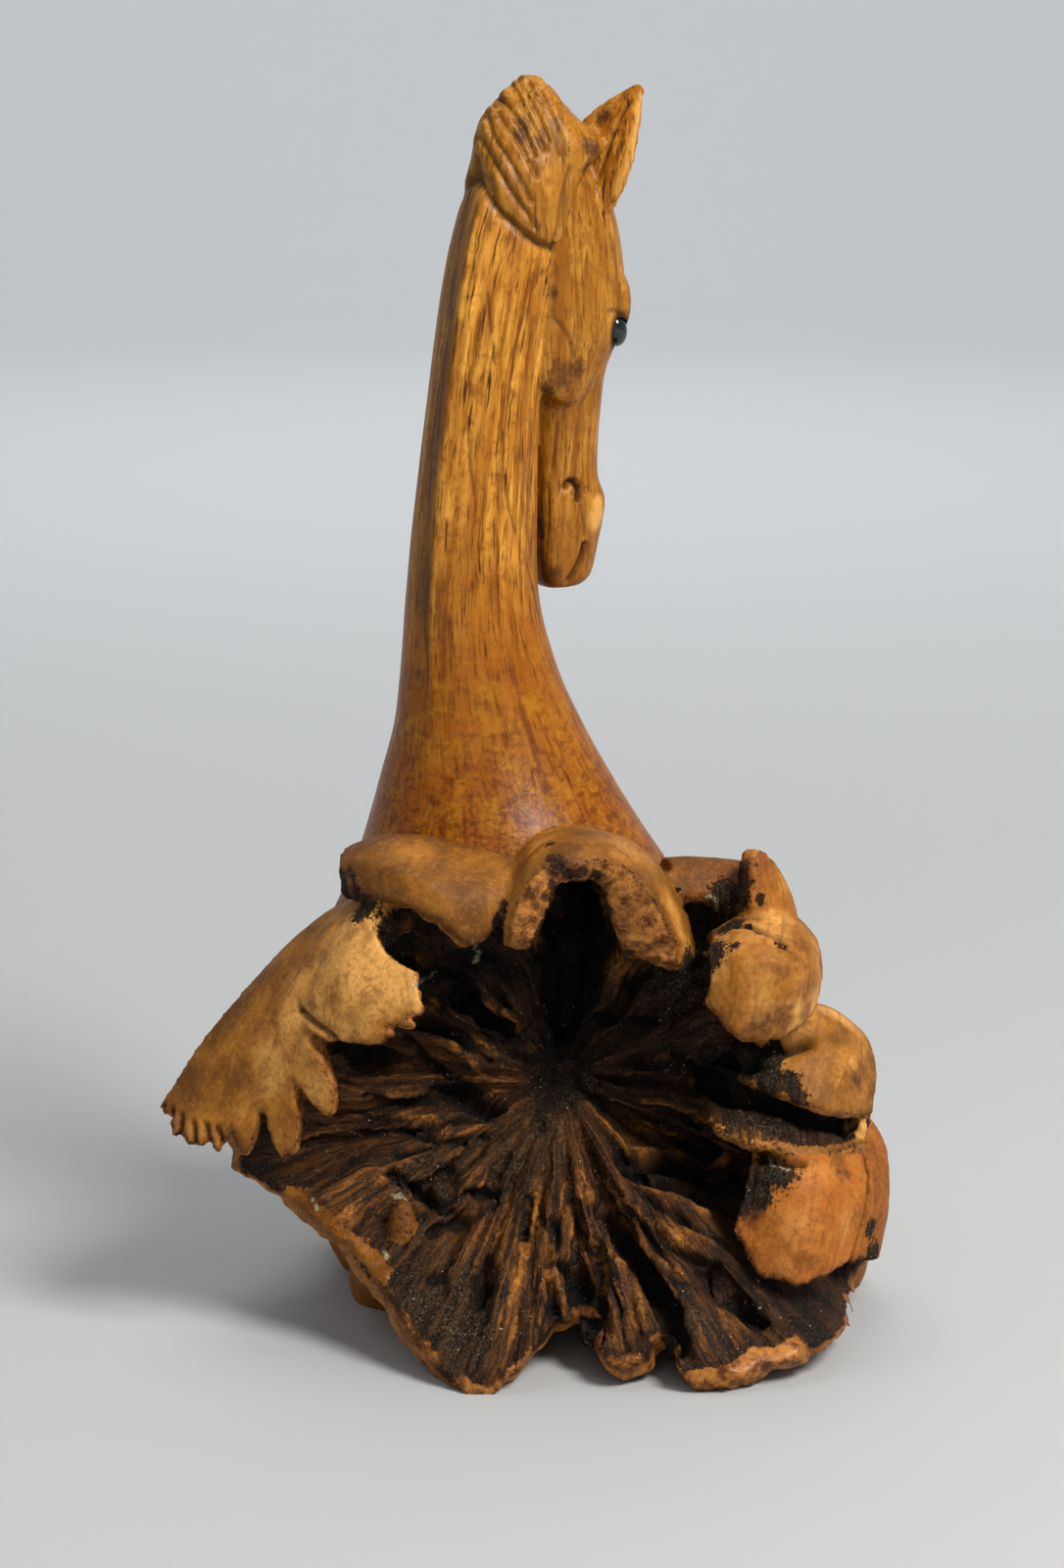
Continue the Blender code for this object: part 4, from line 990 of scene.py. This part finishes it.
def read(items, name, size):
    """A number or a vector of every item, as an array."""
    flat = np.empty(len(items) * size)
    items.foreach_get(name, flat)
    return flat.reshape(-1, size) if size > 1 else flat


def positions(mesh):
    return read(mesh.vertices, "co", 3) / MM


def normals(mesh):
    return read(mesh.vertex_normals, "vector", 3)


def move_to(mesh, points):
    """Put the mesh's vertices at points in metres."""
    mesh.vertices.foreach_set("co", points.ravel())
    mesh.update()


def set_mark(mesh, name, values):
    """Give every vertex a number that the materials can read."""
    layer = mesh.attributes.get(name) or mesh.attributes.new(name, "FLOAT", "POINT")
    layer.data.foreach_set("value", values)


def marks_at(points, outward, data, faces):
    """The marks of the nearest place on the forms."""
    tree = BVHTree.FromPolygons(data[:, :3].tolist(), faces)
    nearest = [tree.find_nearest(point)[2] for point in (points + MARK_OFFSET * outward).tolist()]
    corners = np.array([face if len(face) == 4 else face + face[-1:] for face in faces])[nearest]
    gap = np.linalg.norm(data[corners, :3] - points[:, None], axis=-1)
    weight = 1 / (gap ** 2 + 0.01)
    weight /= weight.sum(1, keepdims=True)
    return (data[corners, 3:] * weight[..., None]).sum(1)


def photo_rays(pixels):
    """The camera's place and the directions in which it sees the pixels."""
    focal = CAMERA_LENS / CAMERA_SENSOR * PHOTO_SIZE[1]
    above = np.array([0.0, math.sin(CAMERA_ELEVATION), math.cos(CAMERA_ELEVATION)])
    right = (pixels[:, :1] - PHOTO_SIZE[0] / 2) * np.array([1.0, 0.0, 0.0])
    upward = (PHOTO_SIZE[1] / 2 - pixels[:, 1:2]) * above
    return CAMERA_TARGET + CAMERA_BACK * CAMERA_DISTANCE, unit(right + upward - CAMERA_BACK * focal)


def seen_at(tree, pixels, count=60):
    """Where on the wood the photograph shows a line of pixels."""
    line = rows_along(pixels, count) if len(pixels) > 1 else np.array(pixels, float)
    start, directions = photo_rays(line)
    hits = [tree.ray_cast(Vector(start), Vector(direction))[0] for direction in directions]
    return np.array([hit for hit in hits if hit is not None]).reshape(-1, 3)


def closeness(points, line, half_width):
    """1 on a line of points, falling to 0 a few half widths away."""
    result = np.zeros(len(points))
    if len(line):
        reach = 2.5 * half_width
        near = np.all((points > line.min(0) - reach) & (points < line.max(0) + reach), axis=1)
        gap = np.full(near.sum(), 1e9)
        for place in line:
            gap = np.minimum(gap, ((points[near] - place) ** 2).sum(1))
        result[near] = np.exp(-gap / half_width ** 2)
    return result


def cut_lines(points, tree):
    """How deep the carved lines and cracks are at each point, and how dark."""
    depth, crack = np.zeros(len(points)), np.zeros(len(points))
    for cut, half_width, dark, both_cheeks, lines in CUTS.values():
        placed = [seen_at(tree, line) for line in lines]
        if both_cheeks:
            placed += [other_cheek(line) for line in placed]
        for line in placed:
            near = closeness(points, line, half_width)
            depth = np.maximum(depth, cut * near)
            crack = np.maximum(crack, dark * near)
    return depth, crack


def strips_and_patches(points, tree):
    """How far each point lies within every kind of strip and patch."""
    kinds = {name: [(line, half_width) for line in lines] for name, (half_width, lines) in STRIPS.items()}
    kinds.update({name: [(((x, y),), radius) for x, y, radius in spots] for name, spots in PATCHES.items()})
    return {name: reduce(np.maximum, (closeness(points, seen_at(tree, line), half_width)
                                      for line, half_width in places))
            for name, places in kinds.items()}


def relief(points, marks, lumpy):
    """How far the surface stands out of the merged forms, in millimetres."""
    fibre, inside, rim, lobe = marks[:, :3], marks[:, 3], marks[:, 4], marks[:, 5]

    def uneven(name):
        height, size, layers, seed = UNEVEN[name]
        return height * layered(points / size, layers, seed)

    def drawn_out(name, pattern=noise):
        height, across, along, seed = ALONG_FIBRES[name]
        return height * pattern(fibre * [across, across, along], seed)

    grain = drawn_out("oiled") + uneven("oiled")
    skin = uneven("skin") + drawn_out("skin") + uneven("fine_skin")
    heart = np.exp(-(np.linalg.norm((points - BOWL_FLOOR) * HEART_SHAPE, axis=1) / HEART_RADIUS) ** 2)
    bark = drawn_out("bark", lambda at, seed: ridged(at, seed) - 0.5) + uneven("bark")
    bark = bark * (1 - HEART_LOSS * heart) + heart * uneven("heart") + lumpy * uneven("lumps")
    plain = np.clip(1 - inside - lobe, 0, 1)
    return plain * grain + lobe * (1 - inside) * skin + inside * bark + rim * uneven("broken")


def finer_head(mesh):
    """Split the faces of the head and mane in four, for the carved lines."""
    build = bmesh.new()
    build.from_mesh(mesh)
    edges = [edge for edge in build.edges if edge.verts[0].co.z > FINER_ABOVE * MM]
    bmesh.ops.subdivide_edges(build, edges=edges, cuts=1, use_grid_fill=True)
    build.to_mesh(mesh)
    build.free()


def cut_flat(mesh):
    """Cut the mesh off at the floor and close it with a flat underside."""
    build = bmesh.new()
    build.from_mesh(mesh)
    everything = build.verts[:] + build.edges[:] + build.faces[:]
    cut = bmesh.ops.bisect_plane(build, geom=everything, dist=1e-7, plane_co=(0, 0, 0),
                                 plane_no=(0, 0, -1), clear_outer=True)
    border = [item for item in cut["geom_cut"] if isinstance(item, bmesh.types.BMEdge)]
    bmesh.ops.triangle_fill(build, edges=border, use_beauty=False, normal=(0, 0, -1))
    build.to_mesh(mesh)
    build.free()


def daylight(mesh):
    """How much open space each vertex sees, from 0 in a crevice to 1."""
    tree = BVHTree.FromPolygons([v.co for v in mesh.vertices], [p.vertices for p in mesh.polygons])
    turn = np.arange(SKY_RAYS) * GOLDEN_ANGLE
    height = LOWEST_RAY + (1 - LOWEST_RAY) * (np.arange(SKY_RAYS) + 0.5) / SKY_RAYS
    flat = np.sqrt(1 - height ** 2)
    normal = normals(mesh)
    helper = np.where(abs(normal[:, 2:3]) > 0.9, [1.0, 0, 0], [0, 0, 1.0])
    side = unit(np.cross(helper, normal))
    other = np.cross(normal, side)
    start = positions(mesh) * MM + normal * RAY_START
    seen = np.zeros(len(start))
    for a, b, c in np.stack([flat * np.cos(turn), flat * np.sin(turn), height], -1):
        direction = a * side + b * other + c * normal
        seen += [tree.ray_cast(Vector(p), Vector(d), CREVICE_REACH)[0] is None
                 for p, d in zip(start.tolist(), direction.tolist())]
    return seen / SKY_RAYS


def build_carving():
    data, faces = joined(carving_bodies())
    carving = mesh_object("carved_wood", data, faces)
    merge = carving.modifiers.new("merge the forms", "REMESH")
    merge.mode = "VOXEL"
    merge.voxel_size = CELL * MM
    soften = carving.modifiers.new("soften the joints", "SMOOTH")
    soften.factor = 0.5
    soften.iterations = 2
    applied(carving)
    mesh = carving.data
    finer_head(mesh)
    points = positions(mesh)
    marks = marks_at(points, normals(mesh), data, faces)
    tree = BVHTree.FromPolygons(points.tolist(), [polygon.vertices for polygon in mesh.polygons])
    depth, crack = cut_lines(points, tree)
    seen = strips_and_patches(points, tree)

    # Crust turns skin to bark, and the skin that folds over the lip covers both
    inside, rim, lobe, ridge = (marks[:, MARKS.index(name)] for name in ("inside", "rim", "lobe", "ridge"))
    inside[:] = np.maximum(inside, seen["crust"]) * (1 - seen["skin"])
    rim *= (1 - seen["crust"]) * (1 - seen["skin"])
    lobe[:] = np.maximum(lobe, seen["skin"])
    lumpy = seen["lumps"] * inside
    ridge *= 1 - 0.5 * lumpy
    crest = seen["raised"] * inside
    depth = depth - RAISED_HEIGHT * crest
    points = points + normals(mesh) * (relief(points, marks, lumpy) - depth)[:, None]
    mesh.vertices.foreach_set("co", (points * MM).ravel())
    seen.update(zip(MARKS, marks.T))
    # The dark marks of the cracks also take the painted shadow under the right petal
    seen.update(
        crack=np.maximum(crack * (1 - crest), 0.9 * seen["char_and_shadow"]),
        bare=np.maximum(seen["bare"], 0.6 * seen["bare_edge"]),
        golden=np.maximum(0.75 * crest, seen["golden"]),
        lumpy=lumpy,
    )
    for name in SEEN_MARKS + MARKS:
        set_mark(mesh, name, seen[name])
    cut_flat(mesh)
    triangles = sum(len(polygon.vertices) - 2 for polygon in mesh.polygons)
    fewer = carving.modifiers.new("fewer faces", "DECIMATE")
    fewer.ratio = min(1.0, MOST_FACES / triangles)
    applied(carving)
    return carving


def cut_sockets(carving):
    """Cut the sockets that hold the inlaid eyes."""
    cutter = mesh_object("socket_cutter", *joined(eye_pair(EYE_CLEARANCE)))
    step = carving.modifiers.new("eye sockets", "BOOLEAN")
    step.operation = "DIFFERENCE"
    step.solver = "EXACT"
    step.object = cutter
    applied(carving)
    bpy.data.objects.remove(cutter)


def darken_sockets(mesh):
    """Mark the wood in and close round the eye sockets as dark."""
    points = positions(mesh)
    crack = read(mesh.attributes["crack"].data, "value", 1)
    for cheek in (points, other_cheek(points)):
        away = np.linalg.norm(((cheek - eye_centre()) @ np.array(eye_axes()).T) / (EYE_SIZE / 2), axis=1)
        crack = np.maximum(crack, smooth_step(away, *LID_SHADOW))
    set_mark(mesh, "crack", crack)


def set_on_frame(thing):
    """Move a mesh from the forms' own coordinates to the frame."""
    low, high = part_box("eye_bead_right")
    shift = (np.array(low) + np.array(high)) / 2 - eye_centre() * MM
    move_to(thing.data, positions(thing.data) * MM + shift)
    return shift


# Materials

class Shader:
    """Builds a node material from short calls."""

    def __init__(self, name):
        self.material = bpy.data.materials.new(name)
        self.material.use_nodes = True
        self.tree = self.material.node_tree
        self.named = {}

    def add(self, kind, inputs=(), output=0, **settings):
        made = self.tree.nodes.new("ShaderNode" + kind)
        for name, value in settings.items():
            setattr(made, name, value)
        for name, value in dict(inputs).items():
            self.put(made.inputs[name], value)
        return made.outputs[output]

    def put(self, socket, value):
        if isinstance(value, bpy.types.NodeSocket):
            self.tree.links.new(value, socket)
        else:
            socket.default_value = value

    def finish(self, surface):
        """Set the surface's sockets, and give back the material."""
        for name, value in surface.items():
            self.put(self.tree.nodes["Principled BSDF"].inputs[name], value)
        return self.material

    def get(self, name):
        """A value by its name: one made before, a pattern, or a mark on the wood."""
        if name not in self.named:
            if name in GRAIN:
                across, along, detail, roughness = GRAIN[name]
                made = self.noise(self.named["fibre"], 1.0, detail, roughness, (across, across, along))
            elif name in MOTTLE:
                made = self.noise(self.named["place"], *MOTTLE[name])
            else:
                made = self.add("Attribute", attribute_name=name, output="Fac")
            self.named[name] = made
        return self.named[name]

    def maths(self, operation, *values):
        return self.add("Math", enumerate(values), operation=operation)

    def times(self, first, *others):
        for factor in others:
            first = self.maths("MULTIPLY", first, factor)
        return first

    def between(self, value, low, high, start=0.0, end=1.0):
        """Start where a value is low, end where it is high, and even in between."""
        value = self.get(value) if isinstance(value, str) else value
        return self.add("MapRange", {
            "Value": value, "From Min": low, "From Max": high, "To Min": start, "To Max": end})

    def ragged(self, amount, pattern, share, low, high, most=1.0):
        """An amount with its edge broken up by a pattern, from 0 at low to most at high."""
        shifted = self.maths("MULTIPLY_ADD", self.maths("SUBTRACT", self.get(pattern), 0.5), share, amount)
        return self.between(shifted, low, high, 0.0, most)

    def crease(self, pattern, width):
        """0 where a pattern crosses its middle, 1 away from there."""
        away = self.maths("ABSOLUTE", self.maths("SUBTRACT", self.get(pattern), 0.5))
        return self.between(away, 0.0, width)

    def mix(self, factor, first, second):
        return self.add("Mix", {0: factor, 6: first, 7: second}, 2, data_type="RGBA")

    def coats(self, tone, *coats):
        """Colours laid over a tone, each with how much of it shows."""
        for amount, coat in coats:
            tone = self.mix(amount, tone, coat)
        return tone

    def painted(self, base, layers):
        """Colours laid over a base where their patterns show them."""
        tone = colour(*base)
        for pattern, low, high, most, paint, *heights in layers:
            amount = self.between(pattern, low, high, 0.0, most)
            if heights:
                amount = self.times(amount, self.between("height", *heights))
            tone = self.mix(amount, tone, colour(*paint))
        return tone

    def noise(self, vector, scale, detail=3.0, roughness=0.55, stretch=None):
        if stretch:
            vector = self.add("VectorMath", {0: vector, 1: stretch}, operation="MULTIPLY")
        return self.add("TexNoise", {
            "Vector": vector, "Scale": scale, "Detail": detail, "Roughness": roughness})


def colour(red, green, blue):
    """A colour from 0 to 255, as an eye names it, in the shader's linear scale."""
    return tuple((c / 255) ** 2.2 for c in (red, green, blue)) + (1.0,)


def inner_bark(wood):
    """Charred ridges with black gaps between them, and how high they stand."""
    crests, grit = wood.get("crests"), wood.get("grit")
    splits = wood.crease("splits", 0.05)
    open_grain = wood.times(wood.crease("gaps", 0.04), wood.between(splits, 0.0, 1.0, 0.35, 1.0))
    threads = wood.between("threads", 0.36, 0.56, 0.3, 1.0)
    raised = wood.times(wood.between("ridge", 0.22, 0.56), wood.between(crests, 0.36, 0.60, 0.15, 1.0),
                        open_grain, threads)
    lit = wood.times(wood.between("daylight", 0.40, 0.85), wood.between(crests, 0.48, 0.64),
                     open_grain, wood.between("ridge", 0.46, 0.72), threads, 0.9)
    crumbs = wood.times(wood.get("lumpy"), wood.between("crumbs", 0.50, 0.62), 0.8)
    # Real brown bits of wood, shown more where the wood is open to the sky and less in hollows: painted light
    bits = wood.times(wood.between("bits", 0.60, 0.68), wood.between("daylight", 0.15, 0.6, 0.1, 0.5))
    golden = wood.times(wood.get("golden"), wood.between(crests, 0.34, 0.52, 0.2, 1.0),
                        wood.between(splits, 0.0, 1.0, 0.45, 1.0), threads)
    gold = wood.mix(wood.between(grit, 0.36, 0.6), colour(192, 126, 52), colour(122, 74, 34))
    tone = wood.coats(
        colour(15, 11, 8),
        (raised, colour(112, 69, 33)),
        (lit, colour(170, 108, 46)),
        (wood.between(grit, 0.50, 0.66, 0.0, 0.55), colour(22, 16, 11)),
        (crumbs, colour(92, 76, 52)),
        (bits, colour(128, 78, 40)),
        (golden, gold))
    height = wood.mix(0.5, wood.mix(0.5, crests, grit), wood.mix(0.4, open_grain, threads))
    return tone, height


def wood_material():
    wood = Shader("carved_burl_wood")
    place = wood.add("TexCoord", output="Object")
    place = wood.add("VectorMath", {0: place, 3: 1 / MM}, operation="SCALE")
    wood.named.update(
        place=place,
        fibre=wood.add("CombineXYZ", enumerate(map(wood.get, MARKS[:3]))),
        height=wood.add("SeparateXYZ", {0: place}, output=2),
        waves=wood.noise(place, 1.0, 4.0, 0.65, stretch=(0.5, 0.5, 0.85)))
    wood.named["paleness"] = wood.maths("ADD", wood.get("tint"), wood.between("drifts", 0.3, 0.7, -0.3, 0.3))
    wood.named["redness"] = wood.maths("ADD", wood.get("warm"), wood.between("mottle", 0.3, 0.7, -0.35, 0.35))
    lobe, crack = wood.get("lobe"), wood.get("crack")

    # Crust and bark cover the skin with a crisp, crumbling edge
    inside = wood.ragged(wood.get("inside"), "grit", 1.6, 0.42, 0.58)
    bark, bark_height = inner_bark(wood)
    # Painted shade on the flat beside the neck's crest, broken up by the grain's lines
    neck_shade = wood.times(wood.get("neck_shade"), wood.between("lines", 0.3, 0.6, 0.9, 0.65))
    fresh = wood.mix(wood.between("blotch", 0.4, 0.6), colour(90, 50, 22), colour(172, 112, 54))
    # Painted shade: darkest where the wood sees little open sky, in crevices and hollows, and broken up by
    # grit
    crevice_shade = wood.times(wood.between("daylight", 0.10, 0.48, 0.75, 0.0),
                      wood.maths("MAXIMUM", wood.maths("MAXIMUM", inside, lobe), 0.25),
                      wood.between("grit", 0.2, 0.6, 0.6, 1.0))
    dust = wood.times(wood.between("specks", 0.76, 0.79, 0.0, 0.8), wood.maths("MAXIMUM", inside, 0.12))
    tone = wood.coats(
        wood.painted(*POLISHED_WOOD),
        (lobe, wood.painted(*OUTER_SKIN)),
        (inside, bark),
        (wood.ragged(wood.get("rim"), "grit", 1.0, 0.40, 0.60), fresh),
        (neck_shade, colour(66, 38, 10)),
        (wood.ragged(wood.get("stain"), "blotch", 1.8, 0.30, 0.95, 0.85), colour(68, 38, 24)),
        (wood.ragged(wood.get("bare"), "blotch", 0.8, 0.30, 0.75, 0.85), colour(214, 156, 82)),
        # Cracks are dark; this coat also paints the shadow under the right petal and the lids' shade round
        # the eyes
        (wood.times(crack, wood.between(inside, 0, 1, 0.9, 0.97)),
         wood.mix(inside, colour(44, 22, 8), colour(5, 4, 3))),
        (crevice_shade, colour(10, 7, 5)),
        (wood.ragged(wood.get("fluff"), "grit", 2.2, 0.55, 0.95, 0.6), colour(184, 170, 140)),
        (dust, colour(196, 184, 160)))

    oiled, skin, bark_gloss = (wood.between(pattern, 0.3, 0.7, *span) for pattern, span in GLOSS)
    skin_height = wood.mix(0.5, wood.get("pores"), wood.get("blotch"))
    oiled_height = wood.mix(0.45, wood.get("lines"), wood.get("fine_pores"))
    depth = wood.maths("MAXIMUM", wood.between(lobe, 0, 1, OILED_BUMP, SKIN_BUMP),
                       wood.between(inside, 0, 1, 0, BARK_BUMP))
    height = wood.mix(inside, wood.mix(lobe, oiled_height, skin_height), bark_height)
    return wood.finish({
        "Base Color": tone,
        "Roughness": wood.mix(inside, wood.mix(lobe, oiled, skin), bark_gloss),
        "Specular IOR Level": 0.2,
        "Normal": wood.add("Bump", {"Height": height, "Strength": 0.6, "Distance": depth})})


def eye_material():
    eye = Shader("dark_inlaid_eye")
    cloud = eye.noise(eye.add("TexCoord", output="Object"), 900.0)
    return eye.finish({
        "Base Color": eye.mix(eye.between(cloud, 0.35, 0.7), colour(6, 7, 10), colour(30, 34, 44)),
        "Roughness": eye.between(cloud, 0.3, 0.7, 0.08, 0.2),
        "Coat Weight": 0.3})


def floor_material():
    return Shader("pale_floor").finish({"Base Color": FLOOR_COLOUR, "Roughness": 0.75})


# Studio

def look_at(thing, target):
    direction = Vector(target) - thing.location
    thing.rotation_euler = direction.to_track_quat("-Z", "Y").to_euler()


def add_camera(shift):
    target = CAMERA_TARGET * MM + shift
    lens = bpy.data.cameras.new("photo_view")
    lens.sensor_fit = "VERTICAL"
    lens.sensor_height = CAMERA_SENSOR
    lens.lens = CAMERA_LENS
    lens.clip_end = 50.0
    camera = new_object("photo_view", lens)
    camera.location = Vector(target + CAMERA_BACK * CAMERA_DISTANCE * MM)
    look_at(camera, target)
    bpy.context.scene.camera = camera
    bpy.context.scene.view_settings.view_transform = "Standard"


def add_lamp(name, place, target, size, power, tint=(1.0, 1.0, 1.0)):
    lamp = bpy.data.lights.new(name, "AREA")
    lamp.shape = "DISK"
    lamp.size = size
    lamp.energy = power
    lamp.color = tint
    thing = new_object(name, lamp)
    thing.location = place
    look_at(thing, target)


def add_floor():
    """A round pale floor that curves up into a backdrop on all sides."""
    bend = np.linspace(0, math.pi / 2, 13)
    radius = np.append(FLOOR_RADIUS + FLOOR_BEND * np.sin(bend), FLOOR_RADIUS + FLOOR_BEND)
    height = np.append(FLOOR_BEND * (1 - np.cos(bend)), WALL_HEIGHT)
    turn = turns(FLOOR_SIDES)
    points = [(0.0, 0.0, 0.0)]
    points += [(r * math.cos(a), r * math.sin(a), z) for r, z in zip(radius, height) for a in turn]
    around = [(i, (i + 1) % FLOOR_SIDES) for i in range(FLOOR_SIDES)]
    faces = [(0, 1 + i, 1 + j) for i, j in around]
    for low in range(1, 1 + FLOOR_SIDES * (len(radius) - 1), FLOOR_SIDES):
        high = low + FLOOR_SIDES
        faces += [(low + i, high + i, high + j, low + j) for i, j in around]
    floor = mesh_object("pale_floor", np.array(points) / MM, faces)
    dressed(floor, floor_material())


def add_studio():
    for name, (place, size, power, tint) in LAMPS.items():
        add_lamp(name, place, LAMP_TARGET, size, power, tint)
    for name, (x, y, power) in BACKDROP_LAMPS.items():
        place, target = ((radius * x, radius * y, z) for radius, z in BACKDROP_AIM)
        add_lamp("backdrop_" + name, place, target, BACKDROP_LAMP_SIZE, power)
    world = bpy.data.worlds.new("studio")
    world.use_nodes = True
    sky = world.node_tree.nodes["Background"].inputs
    sky["Color"].default_value = SKY_COLOUR
    sky["Strength"].default_value = SKY_STRENGTH
    bpy.context.scene.world = world
    add_floor()


# Pieces

carving = build_carving()
cut_sockets(carving)
darken_sockets(carving.data)
shift = set_on_frame(carving)
move_to(carving.data, np.clip(positions(carving.data) * MM, *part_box("horse_burl_carving")))
set_mark(carving.data, "daylight", daylight(carving.data))
dressed(carving, wood_material())
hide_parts("horse_burl_carving")
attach(carving, "root")

eye_finish = eye_material()
for side, body in zip(("right", "left"), eye_pair()):
    bead = mesh_object("glossy_eye_" + side, *body)
    set_on_frame(bead)
    dressed(bead, eye_finish)
    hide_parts("eye_bead_" + side)
    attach(bead, "root")

add_camera(shift)
add_studio()
